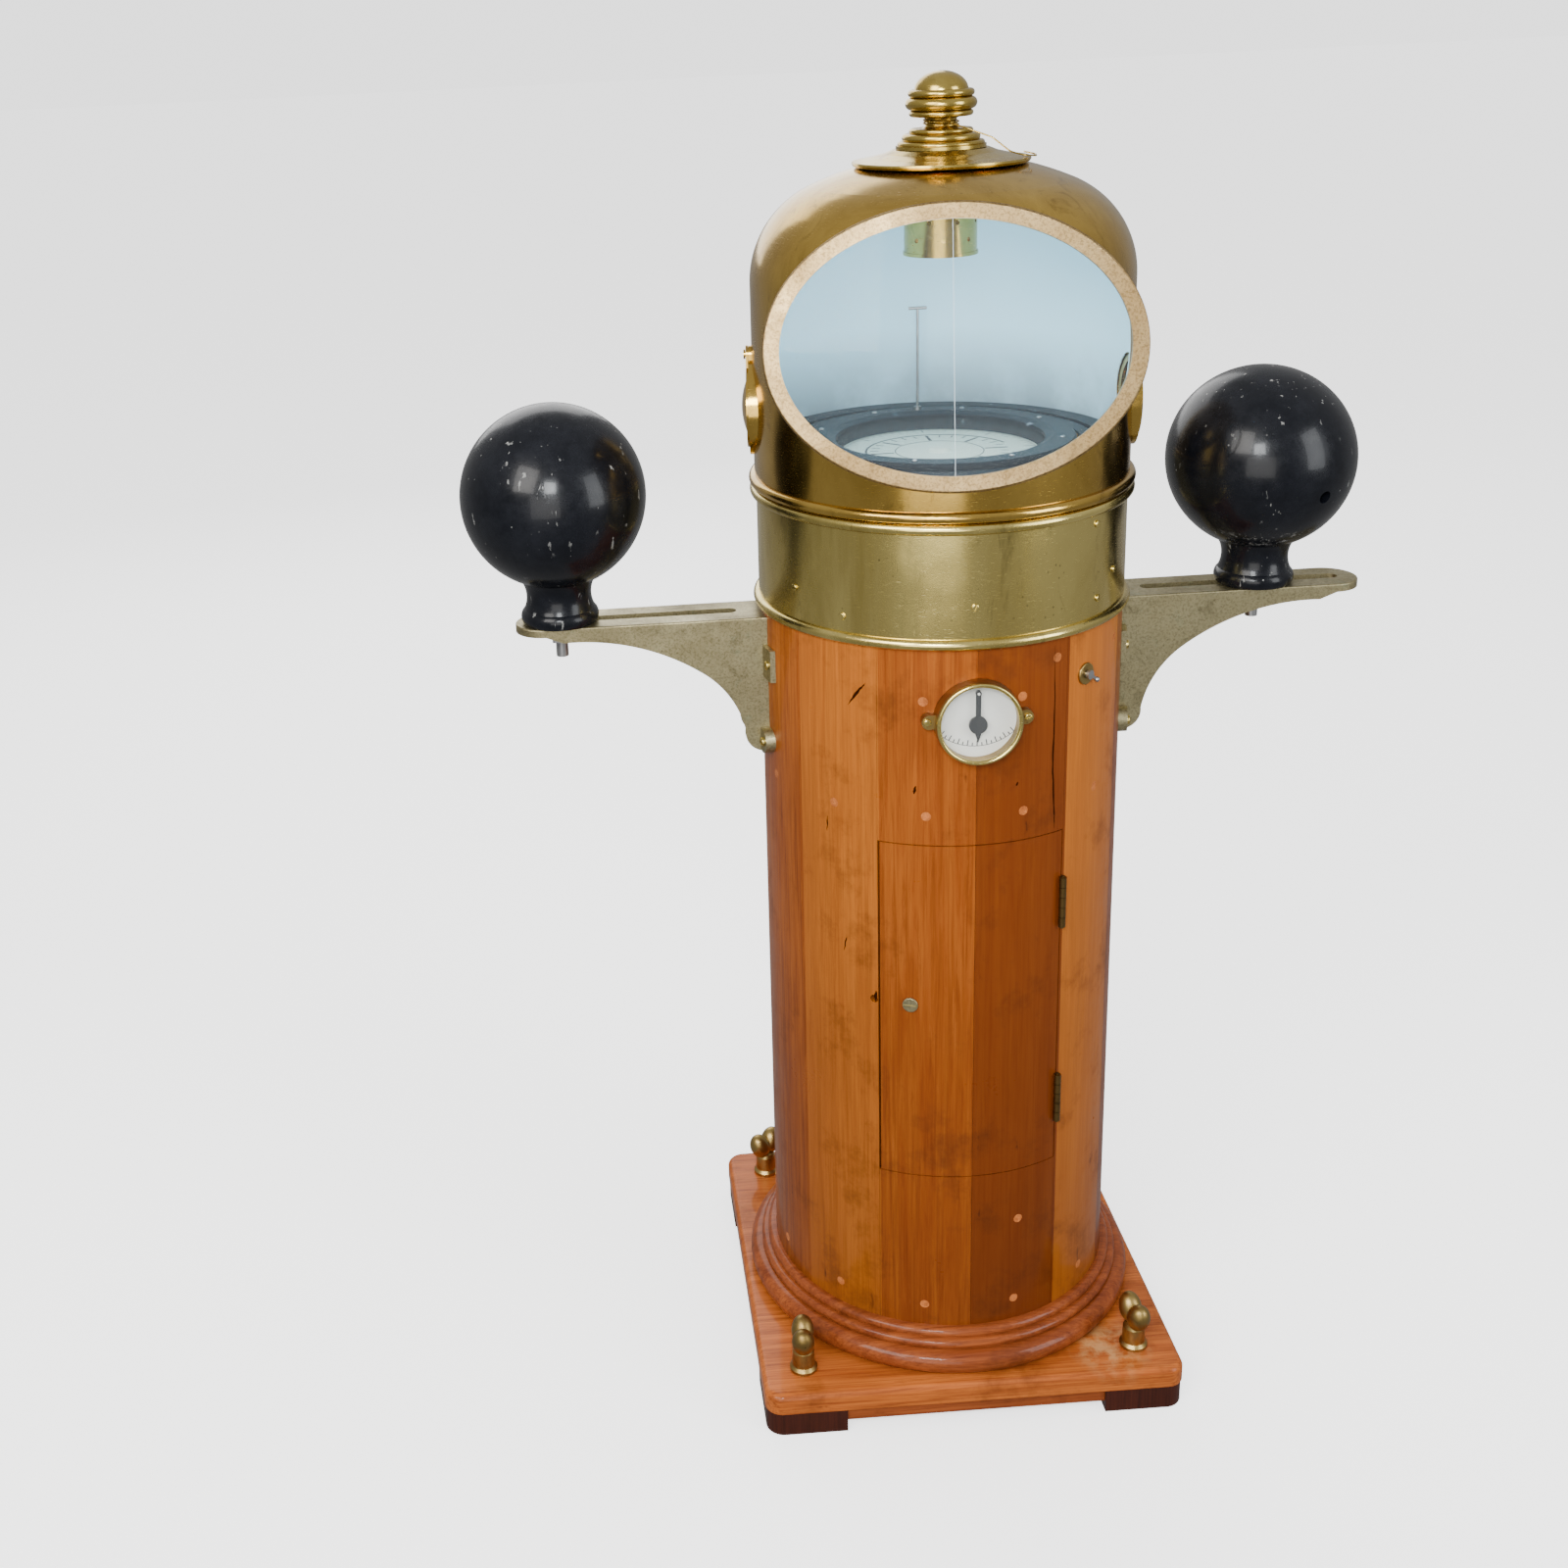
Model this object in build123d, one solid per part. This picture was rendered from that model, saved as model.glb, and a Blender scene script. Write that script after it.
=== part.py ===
# Binnacle compass: a round stave-built stand on a square base, with a magnetic compass in gimbals
# under a brass hood, two soft-iron correcting spheres on slotted brackets, and a pendulum inclinometer.
# Millimetres. Origin: centre of the column on the floor. +Z up, the door and the dial face -Y.
from build123d import *
import math
import os

# ---- driving dimensions ------------------------------------------------------------------------
clear = 0.3              # gap between pieces that move past each other

# base
base_half = 213.0
base_corner_r = 18.0
base_edge_r = 7.0
board_bottom = 25.6
board_top = 46.5
cleat_depth = 82.0       # width of the end cleats, front to back
foot_size = 82.0
rail_bottom = 11.0
rail_thick = 20.0
rail_setback = 4.0
hold_down_x = 170.0
hold_down_y = 171.0
hold_down_r = 7.5

# column
column_r = 175.3
wall = 22.0
stave_count = 12
seam_gap = 0.3
column_top = 925.0
rebate_bottom = 812.0    # the brass band is let in above this height
rebate_r = 173.7
moulding_r = 204.0
moulding_top = 88.0

# door
door_bottom = 264.0
door_top = 620.0
door_gap = 1.0
door_half_angle = 30.0
hinge_knuckle_r = 3.4
hinge_pin_r = 1.6
hinge_heights = (334.0, 547.0)
hinge_length = 52.0
hinge_offset = 3.9       # hinge axis outside the column's skin, so the edge swings clear
latch_angle = -19.7
latch_height = 453.0
latch_r = 6.5

# brass band and hood
band_r = 176.2
band_bottom = 812.0
band_top = 929.4
hood_bottom = 929.8
hood_r = 177.5
hood_wall = 2.0
shoulder_start = 1120.0
shoulder_r = 93.7
crown_r = 301.8
hood_turn = -7.0         # the hood stands turned a little on its seat
vent_r = 32.0

# window
window_tilt = 11.5
window_half_w = 165.0
window_half_h = 124.3
window_rim = 14.8
window_bottom = 958.7
window_proud = 184.0     # distance from the axis to the lowest point of the window's face
glass_inset = 5.0
glass_thick = 4.0
glass_lip = 5.0
neck_wall = 3.5

# vent cap
cap_r = 79.0
cap_rim_z = 1223.6

# compass
pivot_z = 960.0
bowl_r = 112.0
bowl_wall = 2.5
bezel_r = 128.0
sight_pin_r = 112.0      # the azimuth sight's pin stands this far behind the middle
sight_r = 99.0
gimbal_in = 133.0
gimbal_out = 146.0
support_in = 150.5
support_out = 172.6
pin_r = 4.0
pin_clear = 0.05
card_r = 95.0
card_z = 953.0

# correcting spheres
arm_top = 806.0
arm_thick = 8.0
arm_half = 29.0
arm_reach = 416.0
slot_half = 7.0
slot_from = 200.0
slot_to = 397.0
web_thick = 6.0
sphere_r = 89.0
sphere_z = 931.0
left_sphere_x = -372.0
right_sphere_x = 313.0

# instruments on the front
dial_z = 745.0
dial_case_r = 39.5
dial_face_r = 34.5
pendulum_pivot_z = 772.0
switch_angle = 38.2
switch_z = 769.6

# inside the column
shelf_z = 795.0
shelf_thick = 12.0
tube_r = 23.0
tube_bore = 21.0
rod_x = 60.0
rod_r = 4.0

os.makedirs("parts", exist_ok=True)


# ---- helpers ------------------------------------------------------------------------------------
def save(name, solids):
    """Write one node from a list of separate solids."""
    solids = solids if isinstance(solids, list) else [solids]
    pieces = []
    for s in solids:
        pieces.extend(s.solids())
    shape = pieces[0] if len(pieces) == 1 else Compound(children=pieces)
    export_step(shape, f"parts/{name}.step")


def turned(*points):
    """Solid of revolution about Z from (radius, height) points."""
    outline = Polyline(*[(r, 0, z) for r, z in points], close=True)
    return revolve(make_face(outline), Axis.Z, 360)


def tube(outer, inner, bottom, top):
    return turned((inner, bottom), (outer, bottom), (outer, top), (inner, top))


def rod(start, end, radius):
    """Plain round bar between two points."""
    a, b = Vector(*start), Vector(*end)
    plane = Plane(origin=a, z_dir=b - a)
    return plane * Cylinder(radius, (b - a).length, align=(Align.CENTER, Align.CENTER, Align.MIN))


def facing(angle, height, radius):
    """Plane on the column's skin: x to the right, z outwards. The angle runs from the front to the right."""
    t = math.radians(angle)
    out = Vector(math.sin(t), -math.cos(t), 0)
    side = Vector(math.cos(t), math.sin(t), 0)
    return Plane(origin=out * radius + Vector(0, 0, height), x_dir=side, z_dir=out)


def sector(outer, inner, bottom, top, angle_from, angle_to, gap):
    """Part of a ring between two angles, with half the gap taken off each flank."""
    mid = math.radians((angle_from + angle_to) / 2)
    half = math.radians((angle_to - angle_from) / 2)
    reach = outer * 1.3
    inset = gap / 2 / math.sin(half)
    side_x = math.sin(half) * reach
    side_y = -math.cos(half) * reach - inset
    wedge = Polyline((0, -inset), (-side_x, side_y), (side_x, side_y), close=True)
    block = Pos(0, 0, bottom) * extrude(make_face(wedge), top - bottom)
    return tube(outer, inner, bottom, top) & (Rot(0, 0, math.degrees(mid)) * block)


def egg(radius, half_height):
    """Ellipsoid of revolution about Z."""
    half = Ellipse(radius, half_height) & Pos(radius, 0) * Rectangle(radius * 2, half_height * 3)
    return revolve(Plane.XZ * half, Axis.Z, 360)


def slotted_screw(plane, head_r, head_h, length, slot_angle=0.0):
    """Round-head slotted screw standing on a plane."""
    head = plane * Pos(0, 0, head_h / 2) * Cylinder(head_r, head_h)
    head = fillet(head.edges().group_by(Axis(plane.origin, plane.z_dir))[-1], head_h * 0.6)
    slot = plane * Pos(0, 0, head_h) * Rot(0, 0, slot_angle) * Box(head_r * 2.2, head_r * 0.28, head_h * 0.9)
    shank = plane * Pos(0, 0, -length / 2) * Cylinder(head_r * 0.5, length)
    return head - slot + shank


def crown_height(radius, offset=0.0):
    """Height of the hood's crown at a radius, moved outwards by an offset."""
    centre = crown_centre()
    return centre + math.sqrt((crown_r + offset) ** 2 - radius ** 2)


def crown_centre():
    gap = crown_r - shoulder_r
    return shoulder_start - math.sqrt(gap ** 2 - (hood_r - shoulder_r) ** 2)


def hood_solid(offset, bottom):
    """Filled shape of the hood, moved outwards by an offset."""
    centre = crown_centre()
    inner_x = hood_r - shoulder_r
    join = math.atan2(shoulder_start - centre, inner_x)
    r_arc = shoulder_r + offset
    wall_x = hood_r + offset

    def on_shoulder(t):
        return (inner_x + r_arc * math.cos(t), 0, shoulder_start + r_arc * math.sin(t))

    def on_crown(t):
        return ((crown_r + offset) * math.cos(t), 0, centre + (crown_r + offset) * math.sin(t))

    top = (0, 0, centre + crown_r + offset)
    path = [
        Line((0, 0, bottom), (wall_x, 0, bottom)),
        Line((wall_x, 0, bottom), (wall_x, 0, shoulder_start)),
        ThreePointArc((wall_x, 0, shoulder_start), on_shoulder(join / 2), on_shoulder(join)),
        ThreePointArc(on_shoulder(join), on_crown((join + math.pi / 2) / 2), top),
        Line(top, (0, 0, bottom)),
    ]
    return revolve(make_face(Wire(path)), Axis.Z, 360)


def bead(radius, height, bulge, half):
    """Half-round brass bead standing out of a drum."""
    outline = Wire([
        ThreePointArc((radius, 0, height - half), (radius + bulge, 0, height), (radius, 0, height + half)),
        Line((radius, 0, height + half), (radius - 1.0, 0, height + half)),
        Line((radius - 1.0, 0, height + half), (radius - 1.0, 0, height - half)),
        Line((radius - 1.0, 0, height - half), (radius, 0, height - half)),
    ])
    return revolve(make_face(outline), Axis.Z, 360)


# ---- base ---------------------------------------------------------------------------------------
def make_base():
    thick = board_top - board_bottom
    outline = RectangleRounded(base_half * 2, base_half * 2, base_corner_r)
    board = Pos(0, 0, board_bottom) * extrude(outline, thick)
    board = fillet(board.faces().sort_by(Axis.Z)[-1].edges(), base_edge_r)
    for sx in (-1, 1):
        for sy in (-1, 1):
            middle_z = board_bottom + thick / 2
            board -= Pos(sx * hold_down_x, sy * hold_down_y, middle_z) * Cylinder(hold_down_r, thick + 2)
    joint = base_half - cleat_depth
    middle = Box(base_half * 3, joint * 2 - seam_gap, 200)
    save("base_panel", board & middle)
    save("base_cleats", board - Box(base_half * 3, joint * 2, 200))

    feet = []
    inner = base_half - foot_size
    inset_outline = RectangleRounded(base_half * 2 - 2, base_half * 2 - 2, base_corner_r)
    slab = extrude(inset_outline, board_bottom - 0.1)
    block = Box(foot_size, foot_size, board_bottom * 2)
    bolt = Cylinder(hold_down_r, board_bottom * 2)
    for sx in (-1, 1):
        for sy in (-1, 1):
            centre = (base_half + inner) / 2
            foot = slab & Pos(sx * centre, sy * centre, board_bottom / 2) * block
            feet.append(foot - Pos(sx * hold_down_x, sy * hold_down_y, board_bottom / 2) * bolt)
    save("corner_feet", feet)

    rails = []
    length = inner * 2 - 0.4
    height = board_bottom - rail_bottom - 0.1
    offset = base_half - rail_setback - rail_thick / 2
    for turn in range(4):
        rail = Pos(0, -offset, rail_bottom + height / 2) * Box(length, rail_thick, height)
        rails.append(Rot(0, 0, 90 * turn) * rail)
    save("base_rails", rails)

    hole = column_r + 0.15
    floor = board_top + 0.1
    step_z = floor + 24.0
    low, mid, high = moulding_r - 12, moulding_r - 17, moulding_r - 25
    ring = Wire([
        Line((hole, 0, floor), (low, 0, floor)),
        ThreePointArc((low, 0, floor), (moulding_r, 0, floor + 12.0), (low, 0, step_z)),
        Line((low, 0, step_z), (low - 2, 0, step_z)),
        ThreePointArc((low - 2, 0, step_z), (low - 1, 0, 76.5), (mid, 0, 79.6)),
        Line((mid, 0, 79.6), (mid - 3, 0, 79.6)),
        ThreePointArc((mid - 3, 0, 79.6), (mid - 3.6, 0, 85.4), (high, 0, moulding_top)),
        Line((high, 0, moulding_top), (hole, 0, moulding_top)),
        Line((hole, 0, moulding_top), (hole, 0, floor)),
    ])
    save("base_moulding", revolve(make_face(ring), Axis.Z, 360))


def make_hold_down_nuts():
    """Cast brass nuts with two thick egg-shaped ears, each left at its own turn."""
    turns = {"front_left": 84.0, "front_right": 100.0, "rear_left": 40.0, "rear_right": -20.0}
    for name, turn in turns.items():
        sx = -1 if "left" in name else 1
        sy = -1 if "front" in name else 1
        boss = turned((hold_down_r, 0), (14.0, 0), (14.0, 3.0), (11.5, 6.0), (11.0, 22.0), (hold_down_r, 22.0))
        cap = turned((0, 22.0), (11.0, 22.0), (9.5, 26.0), (5.0, 28.5), (0, 28.5))
        nut = boss + cap
        for side in (-1, 1):
            ear = Pos(side * 9.0, 0, 38.0) * Rot(0, side * 20.0, 0) * egg(11.5, 16.0)
            nut += ear
        nut -= Cylinder(hold_down_r, 36.0)
        place = Pos(sx * hold_down_x, sy * hold_down_y, board_top + 0.2) * Rot(0, 0, turn)
        save(f"hold_down_nut_{name}", place * nut)


# ---- column -------------------------------------------------------------------------------------
def plug_places():
    """Angle and height of each wooden plug over a screw."""
    pitch = 360 / stave_count
    rows = [(pitch * (i + 0.5) - 180, z) for i in range(stave_count) for z in (112.0, 650.0)]
    extra = [(-16.0, 763.0), (14.0, 763.0), (26.0, 794.0), (57.0, 789.0), (16.0, 206.0)]
    return rows + extra


def plug(angle, height, radius):
    plane = facing(angle, height, column_r - 6.0)
    return (plane * Pos(0, 0, 5.0) * Cylinder(radius, 10.0)) & tube(column_r, column_r - 12.0, 0, column_top)


def cut_column(piece):
    """Take out of a stave whatever is let into it."""
    box = piece.bounding_box()
    for angle, height in plug_places():
        at = facing(angle, height, column_r).origin
        near_x = box.min.X - 9 < at.X < box.max.X + 9
        near_y = box.min.Y - 9 < at.Y < box.max.Y + 9
        if near_x and near_y and box.min.Z < height < box.max.Z:
            piece -= facing(angle, height, column_r - 1.0) * Cylinder(4.6, 10.0)
    return piece


def make_column():
    pitch = 360 / stave_count
    rebate = tube(column_r + 9, rebate_r + 0.05, rebate_bottom - 0.2, column_top + 9)
    full, above, below = [], [], []
    dial_pocket = facing(0, dial_z, column_r) * Cylinder(dial_case_r + 0.2, 28.0)
    keeper = facing(-door_half_angle - 1.4, latch_height, column_r) * Cylinder(4.0, 18.0)
    for i in range(stave_count):
        start = -180 + i * pitch
        spans = [(board_top + 0.1, column_top, full)]
        if abs(start + pitch / 2) < door_half_angle:
            spans = [(board_top + 0.1, door_bottom - door_gap, below), (door_top + door_gap, column_top, above)]
        for low, high, group in spans:
            stave = sector(column_r, column_r - wall, low, high, start, start + pitch, seam_gap)
            if high > rebate_bottom:
                stave -= rebate
            if group is above:
                stave -= dial_pocket
            if group is full and abs(start + pitch + door_half_angle) < 1:
                stave -= keeper
            group.append(cut_column(stave))
    save("full_staves", full)
    save("staves_above_door", above)
    save("staves_below_door", below)
    save("stave_plugs", [plug(a, z, 4.5) for a, z in plug_places()])


def make_band():
    drum = tube(band_r, rebate_r + 0.1, band_bottom, band_top)
    low_bead = bead(band_r, band_bottom + 5.2, 5.3, 5.2)
    top_bead = bead(band_r, band_top - 5.2, 6.3, 5.2)
    save("brass_band", drum + low_bead + top_bead)


def screw_planes():
    """Places and sizes of the round-head brass screws on the outside of the stand."""
    places = []
    for turn in (0, 180):
        for angle, height in ((-60, 853), (-41, 837), (-1, 852), (43, 839), (53, 859), (41.5, 910)):
            places.append((facing(angle + turn, height, band_r + 0.1), 3.4, 1.6))
    for side in (-90, 90):
        for across in (-42.0, 42.0):
            angle = side + math.degrees(math.asin(across / column_r))
            places.append((facing(angle, 762.0, column_r + 5.1), 4.2, 2.4))
            angle = side + math.degrees(math.asin(math.copysign(36.0, across) / column_r))
            places.append((facing(angle, 681.0, column_r + 9.1), 4.6, 2.8))
    for across in (-46.0, 46.0):
        angle = math.degrees(math.asin(across / column_r))
        places.append((Plane(origin=(across, -178.1, dial_z + 1), x_dir=(1, 0, 0), z_dir=(0, -1, 0)), 3.6, 2.0))
    return places


def make_screws():
    screws = []
    for k, (plane, head_r, head_h) in enumerate(screw_planes()):
        screws.append(slotted_screw(plane, head_r, head_h, 0.05, 35.0 * k))
    save("brass_screws", screws)


# ---- brackets and spheres -----------------------------------------------------------------------
def bracket(side):
    """Cast bracket: slotted flat arm, two side webs, ears and lobes against the column."""
    plate = Pos((arm_reach - arm_half) / 2, 0, 0) * Rectangle(arm_reach - arm_half, arm_half * 2)
    plate += Pos(arm_reach - arm_half, 0) * Circle(arm_half)
    slot_mid = (slot_from + slot_to) / 2
    plate -= Pos(slot_mid, 0) * SlotOverall(slot_to - slot_from, slot_half * 2)
    body = Pos(0, 0, arm_top - arm_thick) * extrude(plate, arm_thick)
    body = fillet(body.faces().sort_by(Axis.Z)[-1].outer_wire().edges(), 1.5)

    top = arm_top - arm_thick + 0.5
    web = Wire([
        Line((150, 0, top), (388, 0, top)),
        Line((388, 0, top), (370, 0, 791.5)),
        ThreePointArc((370, 0, 791.5), (285, 0, 778.0), (232, 0, 749.0)),
        ThreePointArc((232, 0, 749.0), (208.5, 0, 722.0), (196.5, 0, 690.0)),
        ThreePointArc((196.5, 0, 690.0), (191.5, 0, 674.0), (182.0, 0, 668.5)),
        Line((182.0, 0, 668.5), (150, 0, 668.5)),
        Line((150, 0, 668.5), (150, 0, top)),
    ])
    web_plate = extrude(make_face(web), web_thick / 2, both=True)
    for sy in (-1, 1):
        body += Pos(0, sy * (arm_half - web_thick / 2), 0) * web_plate
        ear = Pos(165, sy * 39.0, 762.0) * Box(40, 22.0, 32.0)
        body += ear & tube(column_r + 5.0, 150, 700, 800)
        lobe = Pos(170, sy * 34.0, 681.0) * Rot(0, 90, 0) * Cylinder(12.5, 60)
        body += lobe & tube(column_r + 9.0, 150, 600, 800)
    back = Pos(165, 0, 738.0) * Box(40, arm_half * 2 - 2, 118.0)
    body += back & tube(column_r + 5.0, 150, 600, 800)
    body -= tube(column_r + 0.1, 0, 0, 1000) + Cylinder(20, 3000)
    body = body.solids().sort_by(SortBy.VOLUME)[-1]
    return body if side > 0 else Rot(0, 0, 180) * body


def sphere_casting(x, hole_dir=None):
    """Hollow-necked iron sphere on a turned foot."""
    neck_r, foot_r = 31.5, 37.5
    foot_z = arm_top + clear
    meet = math.asin((neck_r + 4.5) / sphere_r)
    start = (sphere_r * math.sin(meet), 0, sphere_z - sphere_r * math.cos(meet))
    outline = Wire([
        Line((0, 0, foot_z), (foot_r - 2, 0, foot_z)),
        ThreePointArc((foot_r - 2, 0, foot_z), (foot_r + 0.4, 0, foot_z + 7), (foot_r - 3, 0, foot_z + 14)),
        ThreePointArc((foot_r - 3, 0, foot_z + 14), (neck_r, 0, foot_z + 27), start),
        ThreePointArc(start, (sphere_r, 0, sphere_z), (0, 0, sphere_z + sphere_r)),
        Line((0, 0, sphere_z + sphere_r), (0, 0, foot_z)),
    ])
    ball = revolve(make_face(outline), Axis.Z, 360)
    ball -= Pos(0, 0, foot_z + 20) * Cylinder(6.05, 40.2)
    if hole_dir is not None:
        d = Vector(*hole_dir).normalized()
        centre = Vector(0, 0, sphere_z)
        mouth = centre + d * (sphere_r - 16)
        ball -= Plane(origin=mouth, z_dir=d) * Cylinder(6.2, 40, align=(Align.CENTER, Align.CENTER, Align.MIN))
    return Pos(x, 0, 0) * ball


def clamp_bolt(x):
    """Stud through the slot, with its washer and square nut under the arm."""
    stud = Pos(x, 0, 0) * rod((0, 0, 770.0), (0, 0, arm_top + 38.0), 6.0)
    under = arm_top - arm_thick - clear
    washer = Pos(x, 0, 0) * tube(11.5, 6.0, under - 2.0, under)
    nut = Pos(x, 0, under - 2.0 - 5.0) * Box(18, 18, 10)
    nut = fillet(nut.edges().filter_by(Axis.Z), 2.0) - Pos(x, 0, under) * Cylinder(6.0, 60)
    return stud + washer + nut


def make_brackets():
    save("left_bracket", bracket(-1))
    save("right_bracket", bracket(1))
    save("left_sphere", sphere_casting(left_sphere_x))
    save("right_sphere", sphere_casting(right_sphere_x, right_hole_dir))
    save("left_clamp_bolt", clamp_bolt(left_sphere_x))
    save("right_clamp_bolt", clamp_bolt(right_sphere_x))


right_hole_dir = (0.38, -0.89, -0.26)


# ---- door ---------------------------------------------------------------------------------------
def hinge_axis_plane(height):
    return facing(door_half_angle - 0.6, height, column_r + hinge_offset)


def knuckles(height, which):
    """Every second knuckle of a five-knuckle butt hinge."""
    step = hinge_length / 5
    out = []
    centre = hinge_axis_plane(height).origin
    for k in range(5):
        if k % 2 == which:
            z = height - hinge_length / 2 + step * (k + 0.5)
            ring = Cylinder(hinge_knuckle_r, step - 0.5) - Cylinder(hinge_pin_r + 0.05, step + 2)
            out.append(Pos(centre.X, centre.Y, z) * ring)
    return out


def joined_leaf(height, which, shift, thick):
    """One hinge leaf in the joint between door and stave, with its knuckles."""
    at = hinge_axis_plane(height).origin
    piece = facing(door_half_angle, height, column_r - 7.5) * Pos(shift, 0, 0) * Box(thick, hinge_length, 14.4)
    step = hinge_length / 5
    for ring in knuckles(height, which):
        flank = facing(door_half_angle, ring.center().Z, column_r + 0.7)
        piece = piece + flank * Pos(shift, 0, 0) * Box(thick, step - 0.5, 3.6) + ring
    return piece - Pos(at.X, at.Y, height) * Cylinder(hinge_pin_r + 0.05, hinge_length + 8)


def make_door():
    staves = []
    for start, end, edge in ((-door_half_angle, 0.0, -door_half_angle), (0.0, door_half_angle, door_half_angle)):
        leaf = sector(column_r, column_r - wall, door_bottom, door_top, start, end, seam_gap)
        flank = facing(edge, (door_bottom + door_top) / 2, column_r - wall / 2)
        cut = 2.4 if start == 0 else 4.0
        leaf -= flank * Box(cut, door_top - door_bottom + 4, wall * 2)
        if start < 0:
            leaf -= facing(latch_angle, latch_height, column_r - 8) * Cylinder(latch_r + 0.1, 60)
        staves.append(leaf)
    save("door_staves", staves)
    battens = []
    for height in (door_bottom + 50, door_top - 50):
        ring = tube(column_r - wall - 0.1, column_r - wall - 14, height - 18, height + 18)
        cut = sector(column_r, 100, height - 18, height + 18, -door_half_angle + 4, door_half_angle - 5, 0.5)
        battens.append(ring & cut)
    save("door_battens", battens)

    jamb, swing, pins = [], [], []
    for height in hinge_heights:
        centre = hinge_axis_plane(height).origin
        jamb.append(joined_leaf(height, 0, -0.2, 0.5))
        swing.append(joined_leaf(height, 1, -1.0, 0.3))
        pins.append(Pos(centre.X, centre.Y, height) * Cylinder(hinge_pin_r, hinge_length + 3))
    save("hinge_jamb_leaves", jamb)
    save("door_hinge_leaves", swing)
    save("hinge_pins", pins)

    plane = facing(latch_angle, latch_height, column_r)
    barrel = plane * Pos(0, 0, -14.65) * Cylinder(latch_r, 29.7)
    head = plane * Pos(0, 0, 1.3) * Cylinder(latch_r + 1.0, 1.6)
    head = fillet(head.edges().group_by(Axis(plane.origin, plane.z_dir))[-1], 0.9)
    barrel = barrel + head - plane * Pos(0, 0, 2.1) * Box(latch_r * 2.6, 1.5, 2.2)
    cam = plane * Pos(0, 13.0, -28.0) * Box(11.0, 38.0, 3.0)
    save("door_latch", barrel + cam)


# ---- hood ---------------------------------------------------------------------------------------
def window_plane():
    """Plane of the window's face before the hood is turned: z towards the viewer."""
    t = math.radians(window_tilt)
    up = Vector(0, math.sin(t), math.cos(t))
    origin = Vector(0, -window_proud, window_bottom) + up * window_half_h
    return Plane(origin=origin, x_dir=(1, 0, 0), z_dir=Vector(0, -math.cos(t), math.sin(t)))


def oval(half_w, half_h, front, back):
    """Oval prism on the window's plane between two depths behind its face."""
    return window_plane() * Pos(0, 0, -back) * extrude(Ellipse(half_w, half_h), back - front)


def turn_hood(shape):
    return Rot(0, 0, hood_turn) * shape


def port_plane(side):
    """Plane of a side lamp port, facing outwards."""
    return facing(90 * side, 1003.0, hood_r)


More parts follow.
